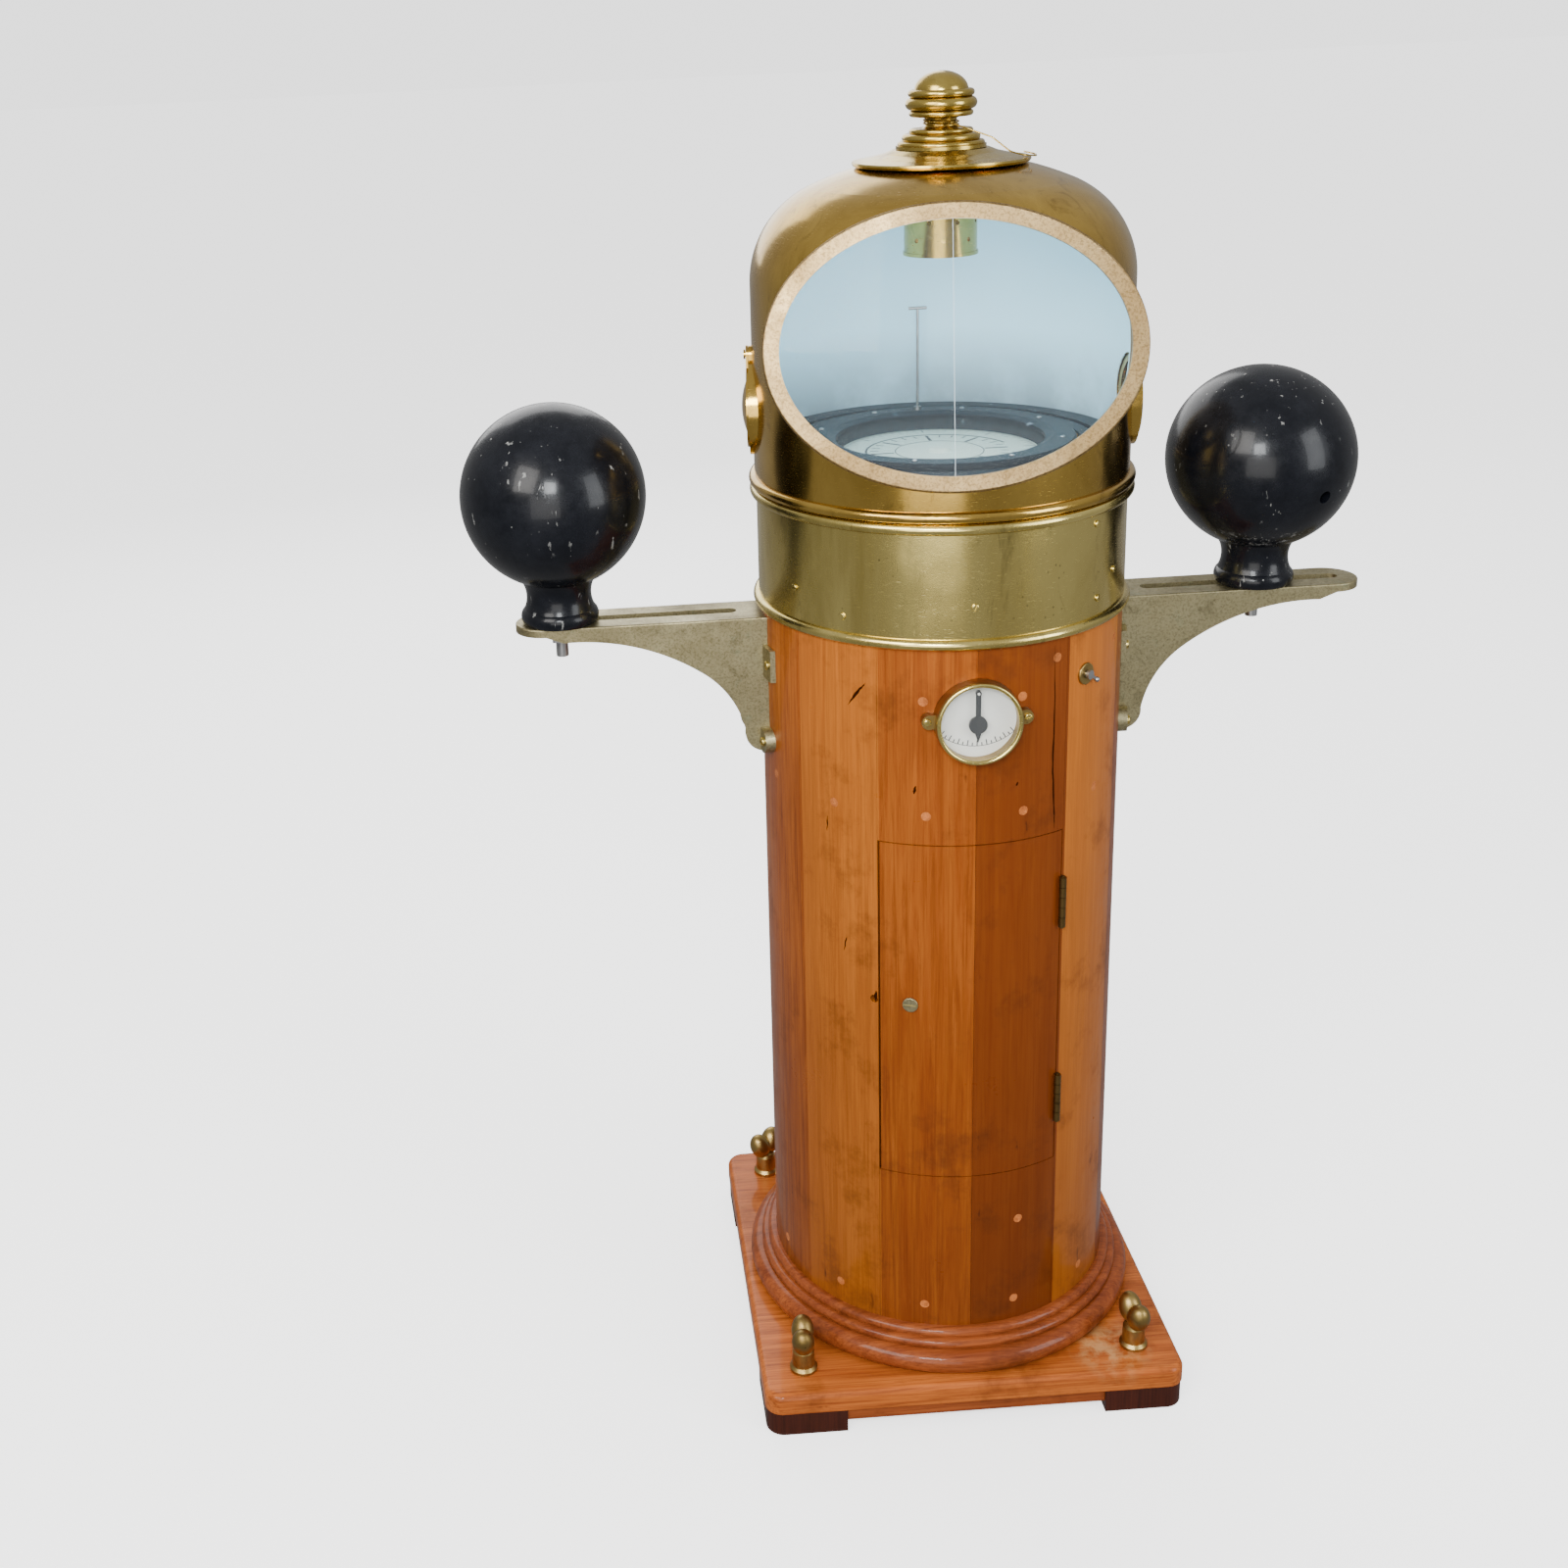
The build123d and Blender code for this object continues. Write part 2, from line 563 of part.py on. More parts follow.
def make_hood():
    inside = hood_solid(-hood_wall, hood_bottom - 5)
    outside = hood_solid(0, hood_bottom)
    shell = outside - inside
    shell += bead(hood_r, hood_bottom + 5.2, 5.6, 5.2)
    rim_w, rim_h = window_half_w, window_half_h
    shell -= oval(rim_w + 0.05, rim_h + 0.05, -60, 130)
    shell -= Pos(0, 0, 1225) * Cylinder(vent_r + 1.6, 60)
    for side in (-1, 1):
        shell -= port_plane(side) * Cylinder(40.05, 60)
    save("hood_shell", turn_hood(shell.solids().sort_by(SortBy.VOLUME)[-1]))

    face_depth = glass_inset + glass_thick + 1.5
    seat_w, seat_h = rim_w - window_rim + glass_lip, rim_h - window_rim + glass_lip
    face = oval(rim_w, rim_h, 0, face_depth) - oval(rim_w - window_rim, rim_h - window_rim, -1, glass_inset)
    face -= oval(seat_w, seat_h, glass_inset, face_depth + 1)
    front_edge = face.faces().sort_by(Axis(window_plane().origin, window_plane().z_dir))[-1]
    face = fillet(front_edge.outer_wire().edges(), 2.0)
    face -= Pos(0, 0, 957.0) * Cylinder(hood_r - hood_wall, 56.0)
    neck = oval(rim_w, rim_h, face_depth, 120) - oval(rim_w - neck_wall, rim_h - neck_wall, face_depth - 1, 121)
    neck -= hood_solid(-hood_wall, hood_bottom - 5)
    neck = max(neck.solids(), key=lambda s: s.volume)
    save("window_frame", turn_hood(face + neck))

    pane = oval(seat_w - 0.1, seat_h - 0.1, glass_inset + 0.05, glass_inset + glass_thick)
    pane -= window_plane() * Box(seam_gap, 400, 400)
    save("window_glass", [turn_hood(s) for s in pane.solids()])

    top = crown_height(vent_r)
    skirt = tube(vent_r + 1.5, vent_r, 1141.0, top + 1.0) + tube(vent_r + 2.6, vent_r, 1141.0, 1144.0)
    for row, z in enumerate((1156.0, 1172.0, 1188.0)):
        for k in range(8):
            plane = facing(45 * k + 22.5 * (row % 2), z, vent_r)
            skirt -= plane * Cylinder(2.2, 12)
    save("vent_skirt", turn_hood(skirt))

    rings, covers = [], {}
    for side, name in ((-1, "left"), (1, "right")):
        plane = port_plane(side)
        ring = plane * Pos(0, 0, -3.75) * Cylinder(40.0, 13.5) + plane * Pos(0, 0, -2.5) * Cylinder(46.0, 11.0)
        ring -= plane * Cylinder(33.0, 60)
        ring -= hood_solid(-hood_wall, hood_bottom - 5)
        flange_cut = tube(hood_r + 0.05, 100, 900, 1150) - plane * Cylinder(40.0, 80)
        ring -= flange_cut
        ear = plane * Pos(0, 50.0, 0) * Cylinder(8.0, 6.0) + plane * Pos(0, 44.0, 0) * Box(16.0, 14.0, 6.0)
        ear -= tube(hood_r + 0.05, 100, 900, 1150)
        ring = ring + ear - plane * Cylinder(33.0, 60)
        ring += plane * Pos(0, 50.0, 4.4) * Cylinder(2.5, 6.0) + plane * Pos(0, 50.0, 6.6) * Cylinder(4.6, 1.6)
        rings.append(turn_hood(ring.solids().sort_by(SortBy.VOLUME)[-1]))
        base_z = 3.0 + clear
        cover = plane * Pos(0, 0, base_z + 1.0) * Cylinder(39.0, 2.0)
        cover += plane * Pos(0, 50.0, base_z + 1.0) * Cylinder(8.5, 2.0)
        cover += plane * Pos(0, 40.0, base_z + 1.0) * Box(17.0, 22.0, 2.0)
        dish = plane * Pos(0, 0, base_z - 60.8) * Sphere(67.8)
        cover += dish & (plane * Pos(0, 0, base_z + 10) * Cylinder(30.0, 20.0))
        cover -= plane * Pos(0, 50.0, base_z) * Cylinder(2.56, 12.0)
        covers[name] = turn_hood(cover.solids().sort_by(SortBy.VOLUME)[-1])
    save("port_rings", rings)
    save("left_port_cover", covers["left"])
    save("right_port_cover", covers["right"])


def make_cap():
    """Vent cap: a low domed flange, and the turned finial on it."""
    seat = [(r, crown_height(r, 1.2)) for r in (78.0, 60.0, 40.0)]
    flange = turned(
        (0, 1234.6), (20.0, 1234.0), seat[2], seat[1], seat[0],
        (cap_r + 1, cap_rim_z - 0.6), (cap_r + 2.2, cap_rim_z + 1.4), (cap_r + 1.6, cap_rim_z + 3.2),
        (cap_r - 1.5, cap_rim_z + 3.6), (66.0, 1229.2), (52.0, 1232.6), (44.0, 1236.0), (0, 1236.4),
    )
    spigot = tube(vent_r - 1.0, vent_r - 3.0, 1216.0, 1234.8)
    save("vent_cap", turn_hood(flange + spigot))

    def torus_ring(radius, z, half):
        return Pos(0, 0, z) * Torus(radius - half, half) + Pos(0, 0, z) * Cylinder(radius - half, half * 2)

    finial = tube(41.0, 0.001, 1236.45, 1239.5)
    finial += torus_ring(39.5, 1240.6, 2.6) + torus_ring(35.5, 1246.0, 3.6) + torus_ring(29.0, 1251.6, 2.4)
    neck = [(20, 1252), (15.0, 1255.5), (13.6, 1259.0), (14.5, 1262.5), (20.0, 1264.6)]
    finial += turned((0, 1240), *neck, (0, 1270))
    finial += torus_ring(29.0, 1267.0, 2.8) + torus_ring(32.4, 1275.6, 5.6) + torus_ring(30.0, 1284.6, 3.4)
    crown = Pos(0, 0, 1286.5) * scale(Sphere(1.0), by=(24.5, 24.5, 17.5))
    finial += crown & Pos(0, 0, 1300) * Box(90, 90, 28)
    save("cap_finial", turn_hood(finial))

    wire_r = 0.7
    turns = []
    for z, tilt, radius in ((1260.2, 3.0, 15.9), (1257.6, 3.0, 15.9)):
        turns.append(Pos(0, 0, z) * Rot(tilt, tilt, 0) * Torus(radius, wire_r))
    path = FilletPolyline(
        (-11.4, -11.9, 1259.9), (3.0, -19.5, 1260.3), (22.0, -34.0, 1254.0), (42.0, -39.0, 1246.5),
        (58.0, -41.5, 1233.6), (71.5, -39.0, 1229.6), (82.5, -28.0, 1228.2), (83.5, -14.0, 1228.6),
        (73.0, -13.0, 1231.0),
        radius=(8.0, 12.0, 14.0, 12.0, 9.0, 7.0, 5.0),
    )
    strand = sweep(Plane(origin=path @ 0, z_dir=path % 0) * Circle(wire_r), path=path)
    save("cap_wire", [turn_hood(strand + turns[0]), turn_hood(turns[1])])


# ---- compass ------------------------------------------------------------------------------------
def make_compass():
    ring_h = 14.0
    low, high = pivot_z - ring_h / 2, pivot_z + ring_h / 2
    support = turned(
        (support_in, low), (support_out, low), (support_out, high - 3),
        (support_out - 2, high), (support_in, high),
    )
    support += tube(support_out, support_out - 6.0, column_top + 0.1, low)
    support += tube(support_out, support_in + 4.0, column_top + 0.1, column_top + 6.0)
    for sy in (-1, 1):
        support -= rod((0, sy * (support_in - 2), pivot_z), (0, sy * (support_in + 12), pivot_z), pin_r + pin_clear)
    save("gimbal_support_ring", support)

    ring = tube(gimbal_out, gimbal_in, low + 1, high - 1)
    for sx in (-1, 1):
        ring -= rod((sx * (gimbal_in - 1), 0, pivot_z), (sx * (gimbal_out + 1), 0, pivot_z), pin_r)
        ring -= rod((0, sx * (gimbal_in - 1), pivot_z), (0, sx * (gimbal_out + 1), pivot_z), pin_r)
    save("gimbal_ring", ring)
    pins = []
    for s in (-1, 1):
        pins.append(rod((s * (bezel_r - 12), 0, pivot_z), (s * (gimbal_out - 1), 0, pivot_z), pin_r))
        pins.append(rod((0, s * (gimbal_in + 1), pivot_z), (0, s * (support_in + 10), pivot_z), pin_r))
    save("gimbal_pins", pins)

    rim_low, rim_high = pivot_z - 6.0, pivot_z + 5.0
    side_low = pivot_z - 30.0

    def bowl_arc(radius):
        drop = math.sqrt(radius ** 2 - 30.0 ** 2)
        mid = math.radians(45)
        side = (radius * math.sin(mid), 0, pivot_z - radius * math.cos(mid))
        return [(drop, 0, side_low), side, (0, 0, pivot_z - radius)]

    outer, inner = bowl_arc(bowl_r + 4), bowl_arc(bowl_r + 4 - bowl_wall)
    section = Wire([
        Line((bezel_r - 0.5, 0, rim_high), (bezel_r - 0.5, 0, rim_low)),
        Line((bezel_r - 0.5, 0, rim_low), (outer[0][0], 0, rim_low)),
        Line((outer[0][0], 0, rim_low), outer[0]),
        ThreePointArc(*outer),
        Line(outer[2], inner[2]),
        ThreePointArc(inner[2], inner[1], inner[0]),
        Line(inner[0], (inner[0][0], 0, rim_high)),
        Line((inner[0][0], 0, rim_high), (bezel_r - 0.5, 0, rim_high)),
    ])
    bowl = revolve(make_face(section), Axis.Z, 360)
    bottom = pivot_z - bowl_r - 4
    bowl += tube(30.0, 0.001, bottom - 10.0, bottom + 1.0) & Pos(0, 0, bottom - 4) * Cylinder(30.0, 13.0)
    for s in (-1, 1):
        bowl -= rod((s * (bezel_r - 13.0), 0, pivot_z), (s * (bezel_r + 1), 0, pivot_z), pin_r + pin_clear)
    save("compass_bowl", bowl)

    bezel = turned(
        (sight_r, rim_high + 0.1), (bezel_r, rim_high + 0.1), (bezel_r, rim_high + 4.0), (bezel_r - 2, rim_high + 6.5),
        (sight_r + 8, rim_high + 6.5), (sight_r, rim_high + 3.6),
    )
    glass_top = rim_high + 0.05
    bezel_seat = tube(inner[0][0] - 0.1, 0.001, glass_top - 3.5, glass_top)
    for s in (-1, 1):
        bezel -= Pos(0, s * sight_pin_r, rim_high + 4) * Cylinder(1.45, 12)
    save("bezel_ring", bezel)
    vane = Pos(0, sight_pin_r, 0) * rod((0, 0, rim_high + 2.0), (0, 0, 1075.0), 1.4)
    vane += Pos(0, sight_pin_r, 0) * tube(3.6, 1.0, rim_high + 6.6, rim_high + 10.0)
    vane += rod((-9.0, sight_pin_r, 1074.0), (9.0, sight_pin_r, 1074.0), 1.6)
    save("sight_vane", vane)
    save("bowl_glass", bezel_seat)

    foot_z = pivot_z - bowl_r - 1.4
    post = turned((0, foot_z), (9, foot_z + 0.6), (9, 856), (4, 862), (3, 940), (0.8, 949), (0, 949.5))
    save("card_pivot", post - below_bowl(inner))

    disc = tube(card_r, 8.0, card_z, card_z + 1.2)
    top = card_z + 4.0
    cup = [(0, 950.2), (3.0, 950.2), (9.0, 947.0), (12.0, 947.0)]
    cap = turned(*cup, (12.0, card_z + 1.2), (8.0, top), (0, top + 0.6))
    float_ring = tube(40.0, 11.0, card_z - 6.0, card_z)
    card = disc + cap + float_ring
    for x in (-26.0, 26.0):
        card += rod((x, -38.0, card_z - 9.0), (x, 38.0, card_z - 9.0), 3.2)
    save("compass_card", card)


def below_bowl(inner):
    """Everything below the inner skin of the bowl, so that the post stands on it."""
    radius = pivot_z - inner[2][2]
    room = Pos(0, 0, pivot_z) * Sphere(radius - 0.05)
    return Pos(0, 0, pivot_z - 100) * Box(60, 60, 60) - room


# ---- instruments on the front -------------------------------------------------------------------
def make_inclinometer():
    front = -188.0
    plane = Plane(origin=(0, front, dial_z), x_dir=(1, 0, 0), z_dir=(0, -1, 0))
    case = plane * Pos(0, 0, -13.0) * Cylinder(dial_case_r, 26.0)
    case = fillet(case.edges().group_by(Axis.Y)[0], 3.0)
    case -= plane * Pos(0, 0, -6.5) * Cylinder(dial_face_r + 1.4, 15.0)
    for sx in (-1, 1):
        ear = plane * Pos(sx * 44.0, 1.0, -14.0) * Cylinder(7.0, 8.0)
        ear += plane * Pos(sx * 39.0, 1.0, -14.0) * Box(12.0, 13.0, 8.0)
        ear -= plane * Pos(0, 0, -14.0) * Cylinder(dial_case_r - 2.0, 20.0)
        case += ear - tube(column_r + 0.1, 0, 0, 1000)
    case -= Pos(0, 0, dial_z) * (tube(column_r + 0.1, 0, -90, 90) - case_room(plane))
    save("inclinometer_case", case.solids().sort_by(SortBy.VOLUME)[-1])
    axle = plane * Pos(0, pendulum_pivot_z - dial_z, -9.6) * Cylinder(1.2, 6.4)
    save("inclinometer_dial", plane * Pos(0, 0, -13.2) * Cylinder(dial_face_r + 1.3, 1.4) + axle)
    save("inclinometer_glass", plane * Pos(0, 0, -2.3) * Cylinder(dial_face_r + 1.3, 1.6))

    pivot = plane * Pos(0, pendulum_pivot_z - dial_z, -8.5)
    arm = pivot * Cylinder(2.6, 3.0) + pivot * Pos(0, -18.0, 0) * Box(4.6, 36.0, 1.2)
    bob = pivot * Pos(0, -30.5, 0) * Cylinder(8.4, 2.6)
    tip = Polyline((-3.4, -37.0), (3.4, -37.0), (0, -47.5), close=True)
    point = pivot * Pos(0, 0, -0.6) * extrude(make_face(tip), 1.2)
    save("inclinometer_pendulum", arm + bob + point - pivot * Cylinder(1.26, 12.0))


def case_room(plane):
    """Room that the case takes behind the column's skin."""
    return Pos(0, 0, -dial_z) * (plane * Pos(0, 0, -13.0) * Cylinder(dial_case_r, 27.0))


def make_switch():
    plane = facing(switch_angle, switch_z, column_r)
    plate = plane * Pos(0, 0, 0.9) * Cylinder(10.5, 2.6)
    plate = fillet(plate.edges().group_by(Axis(plane.origin, plane.z_dir))[-1], 1.2)
    plate -= tube(column_r + 0.1, 0, 0, 1000)
    plate -= plane * Pos(0, 0, 2.0) * Cylinder(3.05, 8.0)
    hub = plane * Pos(0, 0, 2.6) * Cylinder(3.0, 4.0)
    lever = plane * Pos(5.0, -3.5, 5.4) * Rot(0, 0, -35) * Box(13.0, 2.6, 1.8)
    ball = plane * Pos(10.4, -7.3, 5.6) * Sphere(2.6)
    head = plane * Pos(0, 0, 5.4) * Cylinder(4.4, 2.4)
    save("switch_plate", plate)
    save("switch_lever", hub + lever + ball + head)


# ---- inside the column --------------------------------------------------------------------------
def make_inside():
    shelf = Pos(0, 0, shelf_z + shelf_thick / 2) * Cylinder(column_r - wall - 0.2, shelf_thick)
    shelf -= Pos(0, 0, shelf_z) * Cylinder(tube_r, 60)
    for sx in (-1, 1):
        shelf -= Pos(sx * rod_x, 0, shelf_z) * Cylinder(rod_r, 2 * shelf_thick - 4)
    shelf -= Pos(0, -62.0, shelf_z + shelf_thick) * Cylinder(8.0, 60)
    save("bowl_shelf", shelf)

    tube_top = shelf_z + shelf_thick
    bore = tube(tube_r, tube_bore, 560.0, tube_top)
    stop = tube(tube_bore + 0.5, 8.0, 560.0, 563.0)
    save("heeling_tube", bore + stop)

    low_bar = Pos(0, 0, 296.0) * Box(150.0, 36.0, 14.0)
    low_bar += Pos(0, 0, 296.0) * Box(2 * (column_r - wall) - 8, 22.0, 10.0)
    for sx in (-1, 1):
        low_bar -= Pos(sx * rod_x, 0, 299.0) * Cylinder(rod_r, 12)
    rack = [low_bar]
    for sx in (-1, 1):
        rack.append(rod((sx * rod_x, 0, 293.0), (sx * rod_x, 0, shelf_z + shelf_thick - 2.0), rod_r))
    save("magnet_rack", rack)

    tray_z = 450.0
    tray = Pos(0, 0, tray_z) * Box(170.0, 64.0, 36.0)
    tray = fillet(tray.edges().filter_by(Axis.Z), 6.0)
    magnets = []
    for sx in (-1, 1):
        tray -= Pos(sx * rod_x, 0, tray_z) * Cylinder(rod_r + 0.06, 60)
    for y in (-22.0, 22.0):
        for z in (tray_z - 8.0, tray_z + 8.0):
            tray -= rod((-90.0, y, z), (90.0, y, z), 4.0)
            magnets.append(rod((-88.0, y, z), (88.0, y, z), 4.0))
    save("magnet_tray", tray)
    save("corrector_magnets", magnets)

    skin = tube_bore - 0.06
    bucket = turned((0, 650.0), (skin, 650.0), (skin, 712.0), (16.0, 712.0), (16.0, 654.0), (0, 654.0))
    save("heeling_bucket", bucket)

    lamp_y = -62.0
    holder = Pos(0, lamp_y, 0) * tube(7.9, 5.0, shelf_z + 2.0, shelf_z + shelf_thick + 12.0)
    holder += Pos(0, lamp_y, 0) * tube(13.0, 5.0, shelf_z + shelf_thick + 0.1, shelf_z + shelf_thick + 3.0)
    save("lamp_holder", holder)
    base = shelf_z + shelf_thick + 4.0
    envelope = [(4.9, 0), (4.9, 8.1), (7.6, 14.0), (7.9, 19.0), (5.5, 24.5)]
    bulb = turned((0, base), *[(r, base + h) for r, h in envelope], (0, base + 26.5))
    save("lamp_bulb", Pos(0, lamp_y, 0) * bulb)


make_base()
make_hold_down_nuts()
make_column()
make_band()
make_screws()
make_brackets()
make_door()
make_hood()
make_cap()
make_compass()
make_inclinometer()
make_switch()
make_inside()
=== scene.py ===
import bpy
import math
import random
from mathutils import Matrix, Vector

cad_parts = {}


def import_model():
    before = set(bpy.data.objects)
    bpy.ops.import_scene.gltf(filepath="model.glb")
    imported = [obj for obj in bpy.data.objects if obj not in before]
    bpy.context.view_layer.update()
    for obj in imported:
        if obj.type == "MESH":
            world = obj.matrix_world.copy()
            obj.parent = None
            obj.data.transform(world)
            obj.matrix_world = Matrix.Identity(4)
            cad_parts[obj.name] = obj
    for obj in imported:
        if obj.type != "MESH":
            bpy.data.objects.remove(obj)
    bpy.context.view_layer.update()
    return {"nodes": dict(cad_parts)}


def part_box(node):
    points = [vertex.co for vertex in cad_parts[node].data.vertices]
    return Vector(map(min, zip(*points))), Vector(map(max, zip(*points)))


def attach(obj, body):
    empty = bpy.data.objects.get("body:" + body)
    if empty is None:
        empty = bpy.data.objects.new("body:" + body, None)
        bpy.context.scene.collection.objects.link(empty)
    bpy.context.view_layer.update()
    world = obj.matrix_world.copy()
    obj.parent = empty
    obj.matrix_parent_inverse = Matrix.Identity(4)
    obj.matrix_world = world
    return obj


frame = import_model()
NODES = frame["nodes"]
rng = random.Random(7)

FULL_TURN = math.pi * 2
X, Y, Z = Vector((1, 0, 0)), Vector((0, 1, 0)), Vector((0, 0, 1))

# places on the CAD model, in metres
COLUMN_R = 0.1754           # about the staves' skin, to turn a width into an angle
COLUMN_SKIN_R = 0.17536     # just outside the staves' skin
CRACK_FLOOR_R = 0.1748      # just inside it
HOOD_INNER_R = 0.1765       # between the hood's two faces
HOOD_MIDDLE = (0.0, 0.0, 1.045)
BOARD_PATCH = (0.144, -0.174, 0.0465)
CARD_FACE_Z = 0.95425
BEZEL_TOP_Z = 0.9714
BEZEL_SCREW_CIRCLE_R = 0.116
DIAL_CENTRE = Vector((0, -0.188, 0.745))
PENDULUM_PIVOT = Vector((0, -0.17555, 0.772))
PANE_MIDDLE = Vector((-0.01880, -0.15312, 1.07950))
PANE_UP = Vector((0.0243, 0.1979, 0.9799))
PANE_OUT = Vector((-0.1194, -0.9726, 0.1994))
PANE_HALF_HEIGHT = 0.1118
INK_THICKNESS = 0.00012
FINE_LINE_HALF_WIDTH = 0.00022


# ---- camera ---------------------------------------------------------------------------------------
def make_camera(place, yaw, pitch, roll, lens, shift_x, shift_y):
    level_out = math.cos(pitch)
    forward = Vector((math.sin(yaw) * level_out, math.cos(yaw) * level_out, -math.sin(pitch)))
    level = Vector((math.cos(yaw), -math.sin(yaw), 0))
    upright = level.cross(forward)
    right = level * math.cos(roll) + upright * math.sin(roll)
    up = upright * math.cos(roll) - level * math.sin(roll)
    data = bpy.data.cameras.new("camera")
    data.lens = lens
    data.sensor_width = 36.0
    data.shift_x = shift_x
    data.shift_y = shift_y
    data.clip_end = 60.0
    cam = bpy.data.objects.new("camera", data)
    rows = Matrix((right, up, -forward)).transposed().to_4x4()
    cam.matrix_world = Matrix.Translation(place) @ rows
    bpy.context.scene.collection.objects.link(cam)
    bpy.context.scene.camera = cam


make_camera(
    place=(-0.3517, -1.7316, 1.3643), yaw=0.0375, pitch=0.3182, roll=-0.0466,
    lens=42.756, shift_x=0.0865, shift_y=-0.10,
)


# ---- shader building --------------------------------------------------------------------------------
class Mat:
    """A material with short calls for its nodes."""

    def __init__(self, name):
        self.m = bpy.data.materials.new(name)
        self.m.use_nodes = True
        self.t = self.m.node_tree
        self.bsdf = self.t.nodes["Principled BSDF"]
        self.pos = self.node("ShaderNodeTexCoord").outputs["Object"]

    def node(self, kind, **settings):
        n = self.t.nodes.new(kind)
        for k, v in settings.items():
            setattr(n, k, v)
        return n

    def put(self, socket, value):
        if isinstance(value, bpy.types.NodeSocket):
            self.t.links.new(value, socket)
        else:
            if isinstance(value, (tuple, list)) and len(value) == 3 and socket.type == "RGBA":
                value = (*value, 1.0)
            socket.default_value = value

    def set(self, **values):
        names = {
            "color": "Base Color", "metal": "Metallic", "rough": "Roughness", "normal": "Normal",
            "coat": "Coat Weight", "coat_rough": "Coat Roughness", "alpha": "Alpha",
            "spec": "Specular IOR Level",
        }
        for k, v in values.items():
            self.put(self.bsdf.inputs[names[k]], v)

    def stretched(self, scale):
        n = self.node("ShaderNodeMapping")
        self.put(n.inputs["Vector"], self.pos)
        n.inputs["Scale"].default_value = scale
        return n.outputs["Vector"]

    def noise(self, scale, detail=4.0, rough=0.6, vector=None, distort=0.0):
        n = self.node("ShaderNodeTexNoise")
        self.put(n.inputs["Vector"], vector or self.pos)
        n.inputs["Scale"].default_value = scale
        n.inputs["Detail"].default_value = detail
        n.inputs["Roughness"].default_value = rough
        n.inputs["Distortion"].default_value = distort
        return n.outputs["Fac"]

    def specks(self, scale, vector=None):
        """Distance to the nearest of many scattered points."""
        n = self.node("ShaderNodeTexVoronoi")
        self.put(n.inputs["Vector"], vector or self.pos)
        n.inputs["Scale"].default_value = scale
        return n.outputs["Distance"]

    def ramp(self, value, low, high, to_low=0.0, to_high=1.0):
        """Value from low to high becomes to_low to to_high, held at the ends."""
        n = self.node("ShaderNodeMapRange", clamp=True)
        self.put(n.inputs["Value"], value)
        n.inputs["From Min"].default_value = low
        n.inputs["From Max"].default_value = high
        n.inputs["To Min"].default_value = to_low
        n.inputs["To Max"].default_value = to_high
        return n.outputs["Result"]

    def steps(self, value, levels):
        """Equal steps over 0 to 1, one grey level each."""
        n = self.node("ShaderNodeValToRGB")
        n.color_ramp.interpolation = "CONSTANT"
        stops = n.color_ramp.elements
        while len(stops) < len(levels):
            stops.new(1.0)
        for k, level in enumerate(levels):
            stops[k].position = k / len(levels)
            stops[k].color = (level, level, level, 1.0)
        self.put(n.inputs[0], value)
        return n.outputs["Color"]

    def math(self, op, a, b=0.0):
        n = self.node("ShaderNodeMath", operation=op)
        self.put(n.inputs[0], a)
        self.put(n.inputs[1], b)
        return n.outputs[0]

    def mix(self, factor, a, b):
        """Colour between a and b."""
        n = self.node("ShaderNodeMix", data_type="RGBA")
        self.put(n.inputs["Factor"], factor)
        self.put(n.inputs[6], a)
        self.put(n.inputs[7], b)
        return n.outputs[2]

    def blend(self, factor, a, b):
        """Number between a and b."""
        n = self.node("ShaderNodeMix", data_type="FLOAT")
        self.put(n.inputs["Factor"], factor)
        self.put(n.inputs[2], a)
        self.put(n.inputs[3], b)
        return n.outputs[0]

    def xyz(self):
        n = self.node("ShaderNodeSeparateXYZ")
        self.put(n.inputs[0], self.pos)
        return n.outputs

    def bump(self, height, strength, distance=0.001):
        n = self.node("ShaderNodeBump")
        self.put(n.inputs["Height"], height)
        n.inputs["Strength"].default_value = strength
        n.inputs["Distance"].default_value = distance
        return n.outputs["Normal"]

    def near(self, point, inner, outer):
        """1 within a distance of a point, falling to 0."""
        n = self.node("ShaderNodeVectorMath", operation="DISTANCE")
        self.put(n.inputs[0], self.pos)
        n.inputs[1].default_value = point
        return self.ramp(n.outputs["Value"], inner, outer, 1.0, 0.0)


SOIL_BROWN = (0.045, 0.010, 0.002)
STREAK_BROWN = (0.030, 0.007, 0.002)
KNOT_BROWN = (0.02, 0.005, 0.002)
WORN_TAN = (0.52, 0.24, 0.07)
PATCH_TAN = (0.52, 0.28, 0.11)
# darkness of each stave, round the column from the back
STAVE_SHADES = (0.74, 0.42, 0.62, 0.58, 0.28, 0.62, 0.79, 0.20, 0.68, 0.38, 0.60, 0.30)


